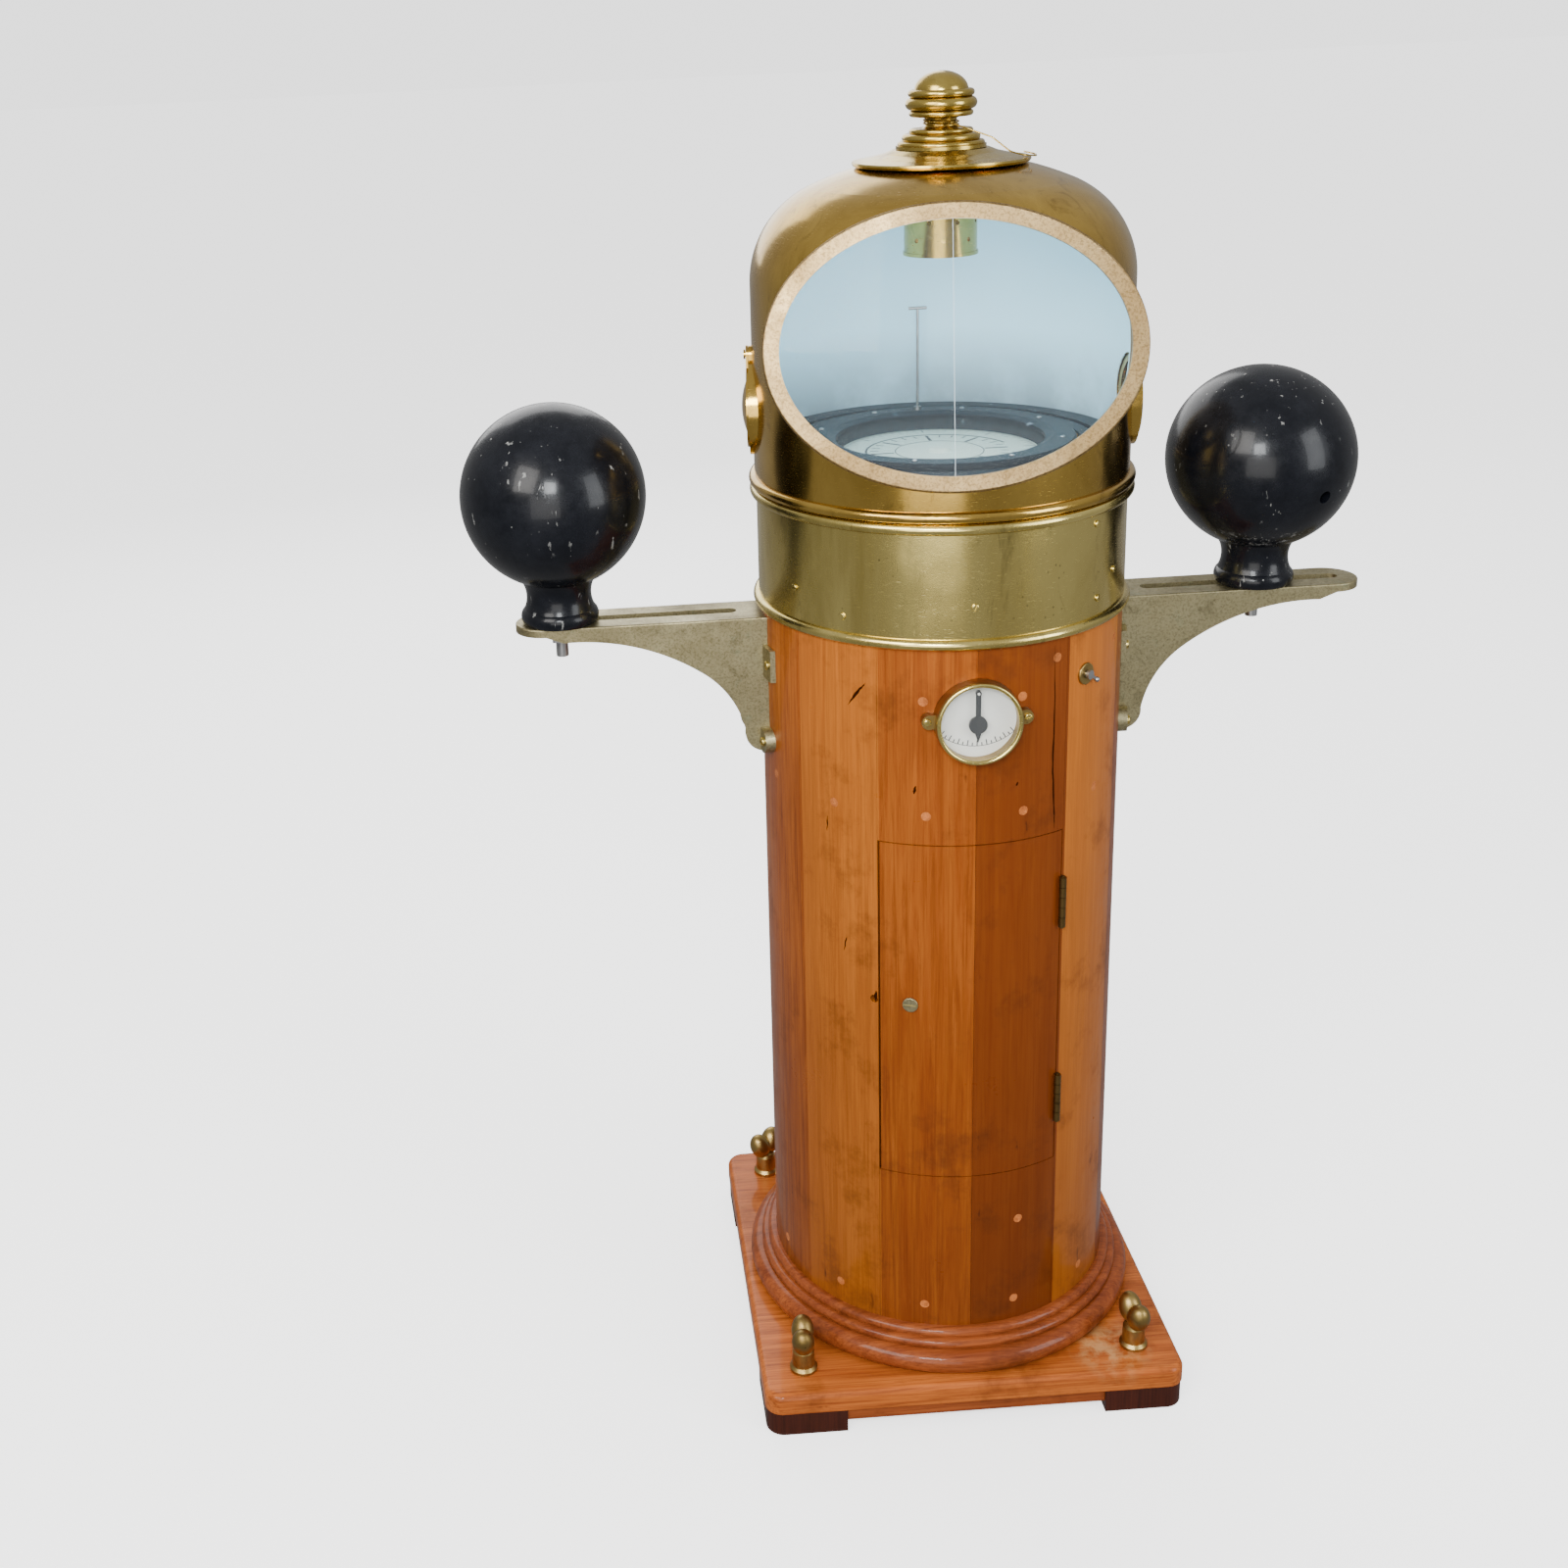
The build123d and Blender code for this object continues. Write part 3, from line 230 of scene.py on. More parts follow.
def wood(name, pale, mid, dark, along, gloss=0.30, staves=False, patch=None):
    """Varnished wood. along is the grain's direction: 0, 1 or 2. patch is the middle of a worn spot."""
    m = Mat(name)
    long_scale = [1.0, 1.0, 1.0]
    long_scale[along] = 0.045
    grain_at = m.stretched(long_scale)
    fibre_scale = [1.0, 1.0, 1.0]
    fibre_scale[along] = 0.012
    fibre_at = m.stretched(fibre_scale)
    grain = m.noise(46.0, 7.0, 0.68, grain_at, 1.2)
    fibre = m.noise(520.0, 3.0, 0.7, fibre_at)
    cloud = m.noise(5.0, 3.0, 0.5)
    tone = m.mix(m.ramp(grain, 0.34, 0.68), mid, pale)
    tone = m.mix(m.ramp(fibre, 0.46, 0.74, 0.0, 0.62), tone, dark)
    tone = m.mix(m.ramp(cloud, 0.40, 0.70, 0.0, 0.40), tone, dark)
    figure = m.noise(170.0, 5.0, 0.75, grain_at, 0.8)
    tone = m.mix(m.ramp(figure, 0.50, 0.66, 0.0, 0.52), tone, dark)
    tone = m.mix(m.ramp(figure, 0.36, 0.46, 0.35, 0.0), tone, pale)
    if staves:
        x, y, z = m.xyz()
        turn = m.math("ARCTAN2", x, m.math("MULTIPLY", y, -1.0))
        shade = m.steps(m.ramp(turn, -math.pi, math.pi), STAVE_SHADES)
        tone = m.mix(m.ramp(shade, 0.5, 0.68, 0.0, 0.7), tone, mid)
        tone = m.mix(m.ramp(shade, 0.62, 1.0), tone, dark)
        tone = m.mix(m.ramp(shade, 0.0, 0.5, 1.0, 0.0), tone, pale)
        # darker towards the bottom of the column: partly the wood's own darker lower staves, partly
        # painted shade for light falling from above
        tone = m.mix(m.ramp(z, 0.10, 0.75, 0.42, 0.0), tone, dark)
    soil = m.noise(14.0, 5.0, 0.7)
    tone = m.mix(m.ramp(soil, 0.54, 0.74, 0.0, 0.55), tone, SOIL_BROWN)
    streak_at = m.stretched([0.22 if k == along else 1.0 for k in range(3)])
    streak = m.ramp(m.noise(70.0, 3.0, 0.6, streak_at), 0.68, 0.74)
    streaks = m.math("MULTIPLY", streak, m.ramp(soil, 0.50, 0.60))
    tone = m.mix(m.math("MULTIPLY", streaks, 0.75), tone, STREAK_BROWN)
    knots = m.ramp(m.specks(17.0, grain_at), 0.015, 0.05, 0.8, 0.0)
    tone = m.mix(knots, tone, KNOT_BROWN)
    worn = m.ramp(m.noise(90.0, 6.0, 0.75, grain_at), 0.70, 0.80, 0.0, 0.35)
    tone = m.mix(worn, tone, WORN_TAN)
    if patch:
        place = m.math("MULTIPLY", m.near(patch, 0.020, 0.046), m.ramp(m.noise(60.0), 0.40, 0.60))
        tone = m.mix(m.math("MULTIPLY", place, 0.65), tone, PATCH_TAN)
    rough = m.blend(m.ramp(soil, 0.3, 0.8), gloss, gloss + 0.25)
    height = m.math("ADD", m.math("MULTIPLY", grain, 0.5), m.math("MULTIPLY", fibre, 0.25))
    m.set(
        color=tone, rough=rough, spec=0.10, coat=0.22, coat_rough=0.07,
        normal=m.bump(height, 0.35, 0.0008),
    )
    return m


VERDIGRIS_GREEN = (0.22, 0.30, 0.20)


def brass(
    name, bright, dull, dark, rough_low, rough_high,
    smear=(1, 1, 1), dents=0.12, verdigris=0.0, grit=0.0,
):
    """Brass with a film of tarnish, spots and fine scratches."""
    m = Mat(name)
    film_at = m.stretched(smear)
    film = m.noise(11.0, 6.0, 0.65, film_at, 0.8)
    fine = m.noise(160.0, 4.0, 0.7)
    tone = m.mix(m.ramp(film, 0.36, 0.66), bright, dull)
    tone = m.mix(m.ramp(m.noise(27.0, 7.0, 0.7, film_at, 1.5), 0.56, 0.76, 0.0, 0.75), tone, dark)
    spots = m.ramp(m.specks(120.0), 0.05, 0.16, 0.7, 0.0)
    spots = m.math("MULTIPLY", spots, m.ramp(m.noise(9.0), 0.52, 0.62))
    tone = m.mix(spots, tone, dark)
    if verdigris:
        green = m.ramp(m.noise(45.0, 6.0, 0.7), 0.58, 0.70, 0.0, verdigris)
        tone = m.mix(green, tone, VERDIGRIS_GREEN)
    if grit:
        tone = m.mix(m.ramp(m.noise(420.0, 4.0, 0.8), 0.47, 0.60, 0.0, grit), tone, dark)
    scratch_at = m.stretched((1.0, 1.0, 9.0))
    scratch = m.ramp(m.noise(150.0, 2.0, 0.5, scratch_at), 0.64, 0.70, 0.0, 0.12)
    rough = m.math("ADD", m.blend(m.ramp(film, 0.3, 0.7), rough_low, rough_high), scratch)
    height = m.math("ADD", m.noise(9.0, 2.0, 0.4), m.math("MULTIPLY", fine, 0.02))
    m.set(color=tone, metal=1.0, rough=rough, normal=m.bump(height, dents, 0.004))
    return m


def paint_black(name, rim=None):
    """Black paint over iron with pale chips and lines. rim is the four heights of a scuffed band."""
    m = Mat(name)
    worn = m.noise(30.0, 8.0, 0.75)
    tone = m.mix(m.ramp(worn, 0.40, 0.75), (0.0030, 0.0036, 0.0055), (0.0085, 0.0095, 0.0130))
    flecks = m.ramp(m.specks(95.0), 0.05, 0.10, 1.0, 0.0)
    flecks = m.math("MULTIPLY", flecks, m.ramp(m.noise(16.0, 4.0, 0.7), 0.53, 0.62))
    lines_at = m.stretched((1.0, 1.0, 0.22))
    line = m.ramp(m.noise(150.0, 3.0, 0.6, lines_at), 0.655, 0.69)
    lines = m.math("MULTIPLY", line, m.ramp(m.noise(9.0), 0.46, 0.54))
    chip = m.math("MAXIMUM", flecks, lines)
    if rim:
        z = m.xyz()[2]
        start, full_from, full_to, end = rim
        band = m.math("MULTIPLY", m.ramp(z, start, full_from), m.ramp(z, full_to, end, 1.0, 0.0))
        patchy = m.ramp(m.noise(120.0, 7.0, 0.8), 0.55, 0.60)
        chip = m.math("MAXIMUM", chip, m.math("MULTIPLY", band, patchy))
    tone = m.mix(m.math("MULTIPLY", chip, 0.75), tone, (0.26, 0.26, 0.25))
    pores = m.math("MULTIPLY", m.noise(140.0, 5.0, 0.7), 0.35)
    height = m.math("SUBTRACT", pores, m.math("MULTIPLY", chip, 0.6))
    rough = m.blend(m.ramp(worn, 0.35, 0.70), 0.17, 0.36)
    m.set(
        color=tone, rough=rough, spec=0.20, coat=0.12, coat_rough=0.06,
        normal=m.bump(height, 0.30, 0.0008),
    )
    return m


def flat_paint(name, color, chip_color, chips, rough=0.42, spec=0.5):
    """Even paint with soft clouds and small chips."""
    m = Mat(name)
    cloud = m.ramp(m.noise(8.0, 5.0, 0.6), 0.3, 0.8, 0.0, 0.35)
    tone = m.mix(cloud, color, tuple(c * 0.72 for c in color))
    chip = m.ramp(m.noise(55.0, 8.0, 0.75), 0.64, 0.67, 0.0, chips)
    tone = m.mix(chip, tone, chip_color)
    m.set(color=tone, rough=rough, spec=spec, normal=m.bump(m.noise(120.0, 5.0), 0.12, 0.0006))
    return m


def glass(name, tint, clear):
    """Thin clear sheet: what is behind it is lit and seen straight through."""
    m = Mat(name)
    haze = m.ramp(m.noise(18.0, 6.0, 0.7), 0.45, 0.75, 0.01, 0.06)
    m.set(color=tint, rough=haze, alpha=clear, spec=0.8)
    return m


def plain_metal(name, color, rough):
    """Grey metal with dull clouds."""
    m = Mat(name)
    cloud = m.ramp(m.noise(60.0, 5.0), 0.4, 0.75, 0.0, 0.6)
    tone = m.mix(cloud, color, tuple(c * 0.45 for c in color))
    m.set(color=tone, metal=1.0, rough=m.ramp(m.noise(90.0), 0.3, 0.7, rough, rough + 0.2))
    return m


INNER_BLUE = (0.54, 0.86, 1.0)
# grey of the painted shade low inside the hood, behind the compass
SHADE_GREY = (0.12, 0.15, 0.17)
BARE_GREY = (0.25, 0.26, 0.25)


def hood_brass():
    """Polished brass outside, pale blue-white paint inside: the inside faces the axis."""
    m = brass(
        "hood_brass", (0.62, 0.405, 0.095), (0.40, 0.245, 0.050), (0.14, 0.078, 0.015), 0.10, 0.24,
        smear=(1, 1, 0.5), dents=0.16,
    )
    geo = m.node("ShaderNodeNewGeometry")
    centred = m.node("ShaderNodeVectorMath", operation="SUBTRACT")
    m.put(centred.inputs[0], m.pos)
    centred.inputs[1].default_value = HOOD_MIDDLE
    facing = m.node("ShaderNodeVectorMath", operation="DOT_PRODUCT")
    m.put(facing.inputs[0], geo.outputs["Normal"])
    m.put(facing.inputs[1], centred.outputs[0])
    inner = m.math("LESS_THAN", facing.outputs["Value"], -0.004)
    from_axis = m.node("ShaderNodeVectorMath", operation="LENGTH")
    m.put(from_axis.inputs[0], m.stretched((1.0, 1.0, 0.0)))
    within = m.math("LESS_THAN", from_axis.outputs["Value"], HOOD_INNER_R)
    inner = m.math("MULTIPLY", inner, within)
    metal_color = m.bsdf.inputs["Base Color"].links[0].from_socket
    old_rough = m.bsdf.inputs["Roughness"].links[0].from_socket
    # painted shade: the inner paint turns grey in patches towards the hood's bottom, in place of the
    # shadow behind the compass
    low_down = m.ramp(m.xyz()[2], 0.955, 1.045, 1.0, 0.0)
    painted_shade = m.math("MULTIPLY", low_down, m.ramp(m.noise(9.0, 5.0, 0.6), 0.30, 0.52, 0.45, 1.0))
    paint = m.mix(m.math("MULTIPLY", painted_shade, 0.9), INNER_BLUE, SHADE_GREY)
    paint = m.mix(m.ramp(m.noise(60.0, 6.0, 0.8), 0.66, 0.70, 0.0, 0.6), paint, BARE_GREY)
    m.set(
        color=m.mix(inner, metal_color, paint),
        metal=m.math("SUBTRACT", 1.0, inner),
        rough=m.blend(inner, old_rough, 0.5),
    )
    return m


PALE = (0.50, 0.148, 0.018)
MID = (0.250, 0.053, 0.0050)
DARK = (0.050, 0.0068, 0.0008)
stave_wood = wood("stave_wood", PALE, MID, DARK, 2, 0.26, staves=True)
board_wood = wood(
    "board_wood", (0.56, 0.155, 0.028), (0.36, 0.082, 0.013), (0.11, 0.020, 0.004), 0, 0.30,
    patch=BOARD_PATCH,
)
turned_wood = wood(
    "turned_wood", (0.33, 0.083, 0.020), (0.19, 0.040, 0.010), (0.065, 0.012, 0.004), 0, 0.24,
)
foot_wood = wood(
    "foot_wood", (0.060, 0.013, 0.006), (0.036, 0.008, 0.004), (0.013, 0.004, 0.003), 2, 0.45,
)
plug_wood = wood("plug_wood", (0.66, 0.22, 0.060), (0.46, 0.125, 0.026), (0.16, 0.033, 0.007), 1, 0.35)
hidden_wood = wood("hidden_wood", (0.36, 0.17, 0.08), (0.25, 0.11, 0.05), (0.12, 0.05, 0.02), 0, 0.50)
hood_metal = hood_brass()
cap_metal = brass(
    "cap_metal", (0.60, 0.44, 0.115), (0.38, 0.26, 0.058), (0.09, 0.055, 0.015), 0.14, 0.30,
)
band_metal = brass(
    "band_metal", (0.80, 0.65, 0.225), (0.44, 0.335, 0.095), (0.10, 0.072, 0.020), 0.12, 0.32,
    smear=(1, 1, 0.22), dents=0.40,
)
frame_metal = brass(
    "frame_metal", (0.42, 0.29, 0.135), (0.29, 0.19, 0.080), (0.10, 0.058, 0.022), 0.32, 0.48,
    dents=0.30, grit=0.60,
)
bronze = brass(
    "bronze", (0.48, 0.42, 0.24), (0.28, 0.24, 0.13), (0.09, 0.075, 0.038), 0.34, 0.54,
    dents=0.8, verdigris=0.35, grit=0.45,
)
old_brass = brass(
    "old_brass", (0.46, 0.32, 0.11), (0.20, 0.13, 0.04), (0.07, 0.043, 0.016), 0.28, 0.48,
    verdigris=0.25,
)
left_iron = paint_black("left_iron")
right_iron = paint_black("right_iron", rim=(0.851, 0.857, 0.866, 0.873))
compass_black = flat_paint(
    "compass_black", (0.008, 0.010, 0.0145), (0.25, 0.34, 0.42), 0.75, 0.40, 0.08,
)
card_paint = flat_paint("card_paint", (0.50, 0.60, 0.52), (0.36, 0.42, 0.35), 0.4, 0.5, 0.2)
dial_paint = flat_paint("dial_paint", (0.78, 0.79, 0.74), (0.55, 0.52, 0.42), 0.3, 0.4)
ink = flat_paint("ink", (0.015, 0.016, 0.018), (0.08, 0.08, 0.08), 0.2, 0.5)
steel = plain_metal("steel", (0.42, 0.42, 0.42), 0.24)
dark_bronze = brass(
    "dark_bronze", (0.17, 0.105, 0.035), (0.09, 0.055, 0.02), (0.03, 0.02, 0.01), 0.35, 0.55,
)
pane = glass("pane", (0.70, 0.84, 0.92), 0.022)
clear_pane = glass("clear_pane", (0.85, 0.90, 0.90), 0.02)
split_wood = flat_paint(
    "split_wood", (0.022, 0.0060, 0.0020), (0.05, 0.014, 0.004), 0.4, 0.8, 0.0,
)
ground_edge = flat_paint("ground_edge", (0.70, 0.80, 0.84), (0.35, 0.42, 0.45), 0.5, 0.6)
bulb_glass = glass("bulb_glass", (0.9, 0.9, 0.85), 0.25)

LOOKS = {
    stave_wood: ["full_staves", "staves_above_door", "staves_below_door", "door_staves"],
    board_wood: ["base_panel", "base_cleats"],
    turned_wood: ["base_moulding", "base_rails"],
    foot_wood: ["corner_feet"],
    plug_wood: ["stave_plugs"],
    hidden_wood: ["door_battens", "bowl_shelf", "magnet_tray"],
    hood_metal: ["hood_shell", "port_rings", "left_port_cover", "right_port_cover"],
    cap_metal: ["vent_cap", "cap_finial", "cap_wire", "vent_skirt"],
    band_metal: ["brass_band", "brass_screws"],
    frame_metal: ["window_frame"],
    bronze: ["left_bracket", "right_bracket", "door_latch"],
    left_iron: ["left_sphere"],
    right_iron: ["right_sphere"],
    compass_black: ["compass_bowl", "bezel_ring", "gimbal_ring", "gimbal_support_ring"],
    card_paint: ["compass_card"],
    dial_paint: ["inclinometer_dial"],
    ink: ["inclinometer_pendulum"],
    steel: ["corrector_magnets", "sight_vane", "left_clamp_bolt", "right_clamp_bolt", "switch_lever"],
    pane: ["window_glass"],
    clear_pane: ["bowl_glass", "inclinometer_glass"],
    bulb_glass: ["lamp_bulb"],
    dark_bronze: ["hinge_jamb_leaves", "door_hinge_leaves", "hinge_pins"],
}
named = {n for nodes in LOOKS.values() for n in nodes}
LOOKS[old_brass] = [n for n in NODES if n not in named]
for look, nodes in LOOKS.items():
    for n in nodes:
        data = NODES[n].data
        data.materials.clear()
        data.materials.append(look.m)


# ---- added pieces -------------------------------------------------------------------------------------
def mesh_piece(name, verts, faces, look, body, smooth=False):
    data = bpy.data.meshes.new(name)
    data.from_pydata([tuple(v) for v in verts], [], faces)
    data.materials.append(look.m)
    if smooth:
        for p in data.polygons:
            p.use_smooth = True
    piece = bpy.data.objects.new(name, data)
    bpy.context.scene.collection.objects.link(piece)
    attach(piece, body)


def flat_marks(name, place, across, up, arcs, ticks, look, body):
    """Thin inked marks on a round face.

    An arc is (radius, width, from, to) and a tick is (angle, inner, outer, width).
    """
    verts, faces = [], []
    out = across.cross(up).normalized() * INK_THICKNESS

    def spot(r, t):
        return place + across * (r * math.cos(t)) + up * (r * math.sin(t))

    def strip(inner, outer):
        start = len(verts)
        for a, b in zip(inner, outer):
            verts.extend([a, b, b + out, a + out])
        last = len(inner) - 1
        for k in range(last):
            i, j = start + 4 * k, start + 4 * k + 4
            for s in range(4):
                faces.append((i + s, i + (s + 1) % 4, j + (s + 1) % 4, j + s))
        faces.append((start + 3, start + 2, start + 1, start))
        end = start + 4 * last
        faces.append((end, end + 1, end + 2, end + 3))

    for r, w, a, b in arcs:
        steps = max(4, int(abs(b - a) / math.radians(3)))
        turns = [a + (b - a) * k / steps for k in range(steps + 1)]
        strip([spot(r - w / 2, t) for t in turns], [spot(r + w / 2, t) for t in turns])
    for t, inner, outer, w in ticks:
        side = (across * -math.sin(t) + up * math.cos(t)) * (w / 2)
        near, far = spot(inner, t), spot(outer, t)
        strip([near - side, far - side], [near + side, far + side])
    mesh_piece(name, verts, faces, look, body)


CARD_DEGREE_TICKS = 72
CARD_POINTS = 32
CARD_TICK_R = 0.0915
card_ticks = []
for k in range(CARD_DEGREE_TICKS):
    size = 0.010 if k % 9 == 0 else (0.007 if k % 3 == 0 else 0.004)
    width = 0.0011 if k % 9 == 0 else 0.0006
    card_ticks.append((FULL_TURN * k / CARD_DEGREE_TICKS, CARD_TICK_R - size, CARD_TICK_R, width))
for k in range(CARD_POINTS):
    inner, width = (0.058, 0.0014) if k % 4 else (0.044, 0.0030)
    card_ticks.append((FULL_TURN * k / CARD_POINTS, inner, 0.066, width))
card_arcs = [
    (0.0925, 0.0008, 0, FULL_TURN),
    (0.0700, 0.0022, 0.3, FULL_TURN * 0.62),
    (0.0700, 0.0022, FULL_TURN * 0.7, FULL_TURN * 0.95),
    (0.0420, 0.0010, 0, FULL_TURN),
]
card_centre = Vector((0, 0, CARD_FACE_Z))
flat_marks("card_marks", card_centre, X, Y, card_arcs, card_ticks, ink, "card")

STRAIGHT_DOWN = -math.pi / 2
DIAL_TICK_R = 0.0520
DIAL_REACH = math.radians(40)
dial_ticks = []
for k in range(-8, 9):
    size = 0.0052 if k % 2 == 0 else 0.0030
    turn = STRAIGHT_DOWN + math.radians(5 * k)
    dial_ticks.append((turn, DIAL_TICK_R - size, DIAL_TICK_R, 0.0009))
dial_arcs = [(0.0522, 0.0005, STRAIGHT_DOWN - DIAL_REACH, STRAIGHT_DOWN + DIAL_REACH)]
flat_marks("dial_marks", PENDULUM_PIVOT, X, Z, dial_arcs, dial_ticks, ink, "stand")


def ring_profile(name, place, across, up, outline, look, body, steps=96):
    """Turned ring: an outline of (radius, height) points swept round a centre."""
    out = across.cross(up)
    verts, faces = [], []
    count = len(outline)
    for s in range(steps):
        t = FULL_TURN * s / steps
        for r, h in outline:
            verts.append(place + (across * math.cos(t) + up * math.sin(t)) * r + out * h)
    for s in range(steps):
        a, b = s * count, ((s + 1) % steps) * count
        for k in range(count):
            n = (k + 1) % count
            faces.append((a + k, b + k, b + n, a + n))
    mesh_piece(name, verts, faces, look, body, smooth=True)


rim = [
    (0.0352, -0.0004), (0.0360, 0.0012), (0.0378, 0.0018),
    (0.0392, 0.0008), (0.0392, -0.0010), (0.0352, -0.0010),
]
ring_profile("inclinometer_rim", DIAL_CENTRE, X, Z, rim, band_metal, "stand")


def seam_lines():
    """Dark glue lines inside the joints between the fixed staves."""
    inner_r, outer_r, margin = 0.1600, 0.1743, 0.001
    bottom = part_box("full_staves")[0][2] + margin
    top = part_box("brass_band")[0][2] - margin
    verts, faces = [], []
    for angle in range(60, 301, 30):
        t = math.radians(angle)
        out = Vector((math.sin(t), -math.cos(t), 0))
        side = Vector((math.cos(t), math.sin(t), 0)) * FINE_LINE_HALF_WIDTH
        start = len(verts)
        for height in (bottom, top):
            for radius, corner in ((inner_r, -1), (outer_r, -1), (outer_r, 1), (inner_r, 1)):
                verts.append(out * radius + side * corner + Z * height)
        faces += [tuple(start + k for k in f) for f in ((3, 2, 1, 0), (4, 5, 6, 7))]
        for k in range(4):
            n = (k + 1) % 4
            faces.append((start + k, start + n, start + 4 + n, start + 4 + k))
    mesh_piece("seam_lines", verts, faces, foot_wood, "stand")


seam_lines()


def pane_joint():
    """Ground edges of the two panes, seen as a fine pale line down the window."""
    side = PANE_UP.cross(PANE_OUT).normalized() * FINE_LINE_HALF_WIDTH
    low, high = 0.00005, 0.00017
    verts = []
    for end in (-PANE_HALF_HEIGHT, PANE_HALF_HEIGHT):
        for corner, level in ((-1, low), (1, low), (1, high), (-1, high)):
            verts.append(PANE_MIDDLE + PANE_UP * end + side * corner + PANE_OUT * level)
    faces = [(3, 2, 1, 0), (4, 5, 6, 7)]
    faces += [(k, (k + 1) % 4, 4 + (k + 1) % 4, 4 + k) for k in range(4)]
    mesh_piece("pane_joint", verts, faces, ground_edge, "hood")


pane_joint()


def small_screws(name, places, radius, look, body):
    """Low domed screw heads on an upward face."""
    verts, faces = [], []
    for place, turn in places:
        start = len(verts)
        for level, scale in ((0.0, 1.0), (0.5, 0.95), (0.85, 0.6)):
            for k in range(16):
                t = FULL_TURN * k / 16 + turn
                rim_at = Vector((math.cos(t), math.sin(t), 0)) * radius * scale
                verts.append(place + rim_at + Z * radius * level * 0.6)
        for level in range(2):
            for k in range(16):
                a, n = start + level * 16 + k, start + level * 16 + (k + 1) % 16
                faces.append((a, n, n + 16, a + 16))
        faces.append(tuple(start + 32 + k for k in range(16)))
        faces.append(tuple(start + 15 - k for k in range(16)))
    mesh_piece(name, verts, faces, look, body, smooth=True)


bezel_places = []
for k in range(8):
    t = FULL_TURN * (k + 0.5) / 8
    x, y = BEZEL_SCREW_CIRCLE_R * math.cos(t), BEZEL_SCREW_CIRCLE_R * math.sin(t)
    bezel_places.append((Vector((x, y, BEZEL_TOP_Z)), rng.uniform(0, 3)))
small_screws("bezel_screws", bezel_places, 0.0026, steel, "bowl")


def on_column(angle, height, radius=COLUMN_SKIN_R):
    t = math.radians(angle)
    return Vector((math.sin(t) * radius, -math.cos(t) * radius, height))


def crack(name, points, width):
    """Dark open split on the column's skin, through (angle in degrees, height) points."""
    verts, faces = [], []
    steps = []
    for (a0, z0), (a1, z1) in zip(points, points[1:]):
        for k in range(6):
            f = k / 6
            wander = rng.uniform(-0.10, 0.10)
            steps.append((a0 + (a1 - a0) * f + wander, z0 + (z1 - z0) * f))
    steps.append(points[-1])
    for k, (a, z) in enumerate(steps):
        share = math.sin(math.pi * (k + 0.4) / (len(steps) - 0.2)) * rng.uniform(0.6, 1.2)
        half = math.degrees(max(width * share, 0.00015) / 2 / COLUMN_R)
        verts += [on_column(a - half, z), on_column(a + half, z), on_column(a, z, CRACK_FLOOR_R)]
    for k in range(len(steps) - 1):
        i, j = 3 * k, 3 * k + 3
        faces += [(i, i + 1, j + 1, j), (i + 1, i + 2, j + 2, j + 1), (i + 2, i, j, j + 2)]
    last = 3 * len(steps)
    faces += [(2, 1, 0), (last - 3, last - 2, last - 1)]
    mesh_piece(name, verts, faces, split_wood, "stand")


crack("long_crack", [(24.9, 0.806), (25.4, 0.745), (25.1, 0.690), (26.2, 0.640), (26.4, 0.624)], 0.0021)
crack("left_scratch", [(-39.5, 0.752), (-35.8, 0.768), (-33.5, 0.776)], 0.0034)
crack("door_edge_chip", [(-30.9, 0.450), (-30.75, 0.462)], 0.0030)
crack("low_scratch", [(-42.0, 0.496), (-41.2, 0.508), (-40.8, 0.512)], 0.0015)
crack("plug_side_chip", [(-18.6, 0.672), (-18.1, 0.680)], 0.0040)
crack("seam_chip", [(-47.9, 0.618), (-47.6, 0.634)], 0.0014)
crack("right_pin_hole", [(12.6, 0.676), (12.9, 0.680)], 0.0026)


# ---- room ---------------------------------------------------------------------------------------------
FLOOR_HALF = 40
FLOOR_Z = -0.0004
FLOOR_GLOW = 1.7
BACKDROP_VALUE = 2.12       # what the camera sees of the world; the object is lit by the gradient


def room():
    """Pale floor that doesn't show in the object's reflections."""
    data = bpy.data.meshes.new("floor")
    corners = ((-1, -1), (1, -1), (1, 1), (-1, 1))
    verts = [(x * FLOOR_HALF, y * FLOOR_HALF, FLOOR_Z) for x, y in corners]
    data.from_pydata(verts, [], [(0, 1, 2, 3)])
    m = Mat("floor_paint")
    m.set(color=(0.88, 0.88, 0.88), rough=0.8)
    m.bsdf.inputs["Emission Color"].default_value = (1, 1, 1, 1)
    m.bsdf.inputs["Emission Strength"].default_value = FLOOR_GLOW
    data.materials.append(m.m)
    floor = bpy.data.objects.new("floor", data)
    bpy.context.scene.collection.objects.link(floor)
    floor.visible_glossy = False
    floor.visible_diffuse = False


def area(name, place, target, size, power, color=(1, 1, 1), mirrored=True):
    """Rectangular light. mirrored says that it shows in reflections."""
    data = bpy.data.lights.new(name, "AREA")
    data.shape = "RECTANGLE"
    data.size, data.size_y = size
    data.energy = power
    data.color = color
    lamp = bpy.data.objects.new(name, data)
    lamp.location = place
    lamp.visible_glossy = mirrored
    lamp.rotation_euler = (Vector(target) - Vector(place)).to_track_quat("-Z", "Y").to_euler()
    bpy.context.scene.collection.objects.link(lamp)


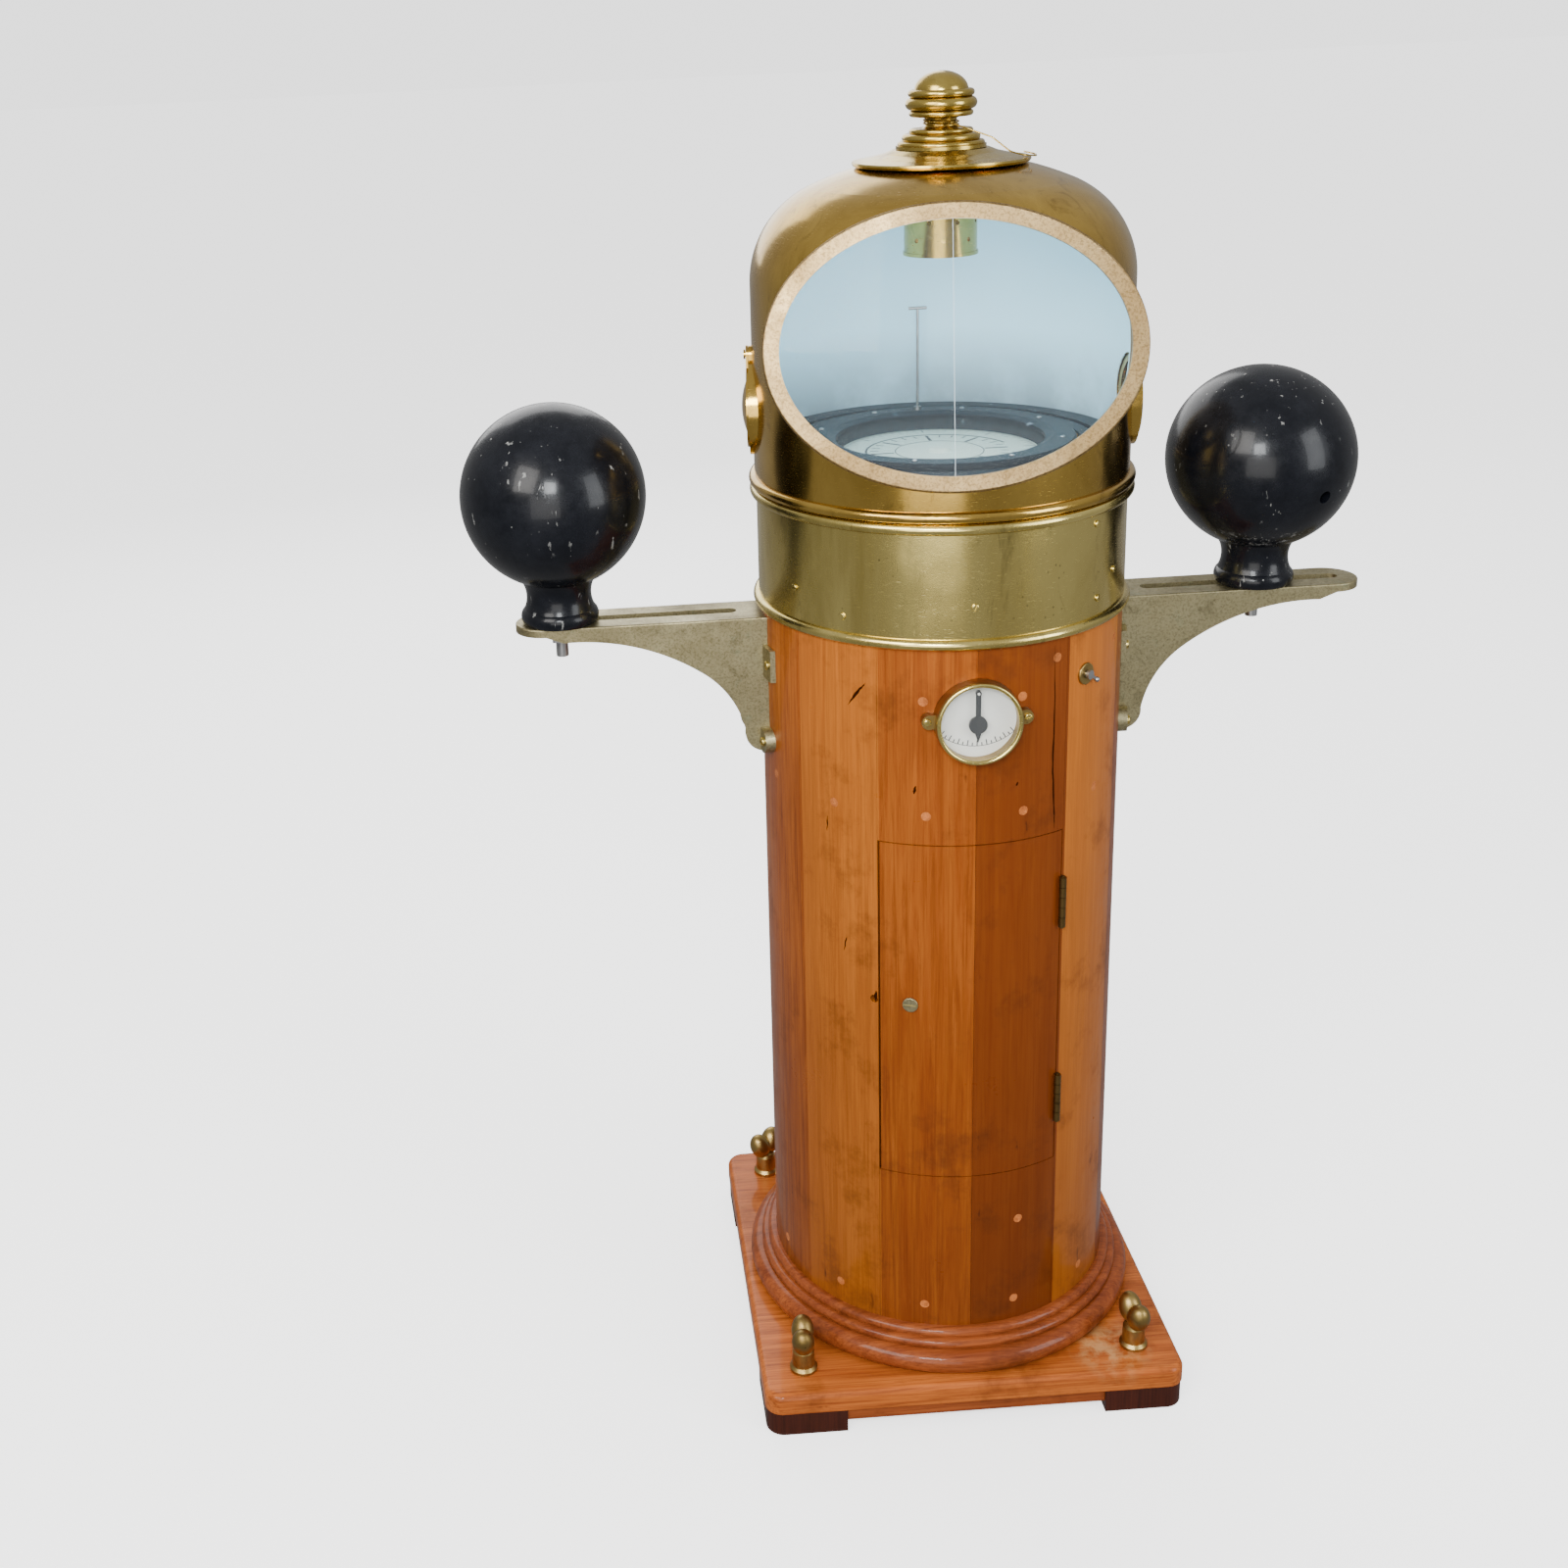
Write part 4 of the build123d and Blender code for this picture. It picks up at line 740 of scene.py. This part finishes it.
def point(name, place, radius, power, color):
    data = bpy.data.lights.new(name, "POINT")
    data.shadow_soft_size = radius
    data.energy = power
    data.color = color
    lamp = bpy.data.objects.new(name, data)
    lamp.location = place
    bpy.context.scene.collection.objects.link(lamp)


def world():
    """Soft gradient for the lighting, with a plain pale backdrop for the camera."""
    w = bpy.data.worlds.new("studio")
    bpy.context.scene.world = w
    w.use_nodes = True
    t = w.node_tree
    back = t.nodes["Background"]
    back.inputs["Strength"].default_value = 1.0
    where = t.nodes.new("ShaderNodeTexCoord")
    split = t.nodes.new("ShaderNodeSeparateXYZ")
    t.links.new(where.outputs["Generated"], split.inputs[0])
    ramp = t.nodes.new("ShaderNodeMapRange")
    ramp.inputs["From Min"].default_value = -0.15
    ramp.inputs["From Max"].default_value = 0.75
    ramp.inputs["To Min"].default_value = 0.34
    ramp.inputs["To Max"].default_value = 0.62
    t.links.new(split.outputs["Z"], ramp.inputs["Value"])
    path = t.nodes.new("ShaderNodeLightPath")
    pick = t.nodes.new("ShaderNodeMix")
    pick.data_type = "FLOAT"
    t.links.new(path.outputs["Is Camera Ray"], pick.inputs["Factor"])
    t.links.new(ramp.outputs["Result"], pick.inputs[2])
    pick.inputs[3].default_value = BACKDROP_VALUE
    t.links.new(pick.outputs[0], back.inputs["Color"])


room()
world()
# name, place, what it points at, size, watts, colour
area("key", (-2.3, -2.6, 2.9), (0, 0, 0.7), (1.8, 2.0), 125.0, (1.0, 0.97, 0.93))
area("fill", (2.7, -2.2, 1.7), (0, 0, 0.7), (1.4, 2.4), 75.0, (0.95, 0.98, 1.0))
area("top", (0.2, 0.4, 3.6), (0, 0, 0.6), (2.8, 2.8), 60.0, mirrored=False)
area("low_front", (-0.9, -3.4, 0.9), (0, 0, 0.8), (2.2, 1.6), 38.0, (1.0, 0.98, 0.95))
area("rear", (-0.6, 3.0, 2.2), (0, 0, 0.8), (2.6, 2.2), 50.0)
area("window", (-0.45, -1.9, 1.75), (0, 0, 1.08), (0.5, 0.5), 30.0, (0.95, 0.98, 1.0))
# name, place, radius, watts, colour
point("under_hood", (-0.01, -0.05, 1.09), 0.05, 0.9, (0.92, 0.97, 1.0))
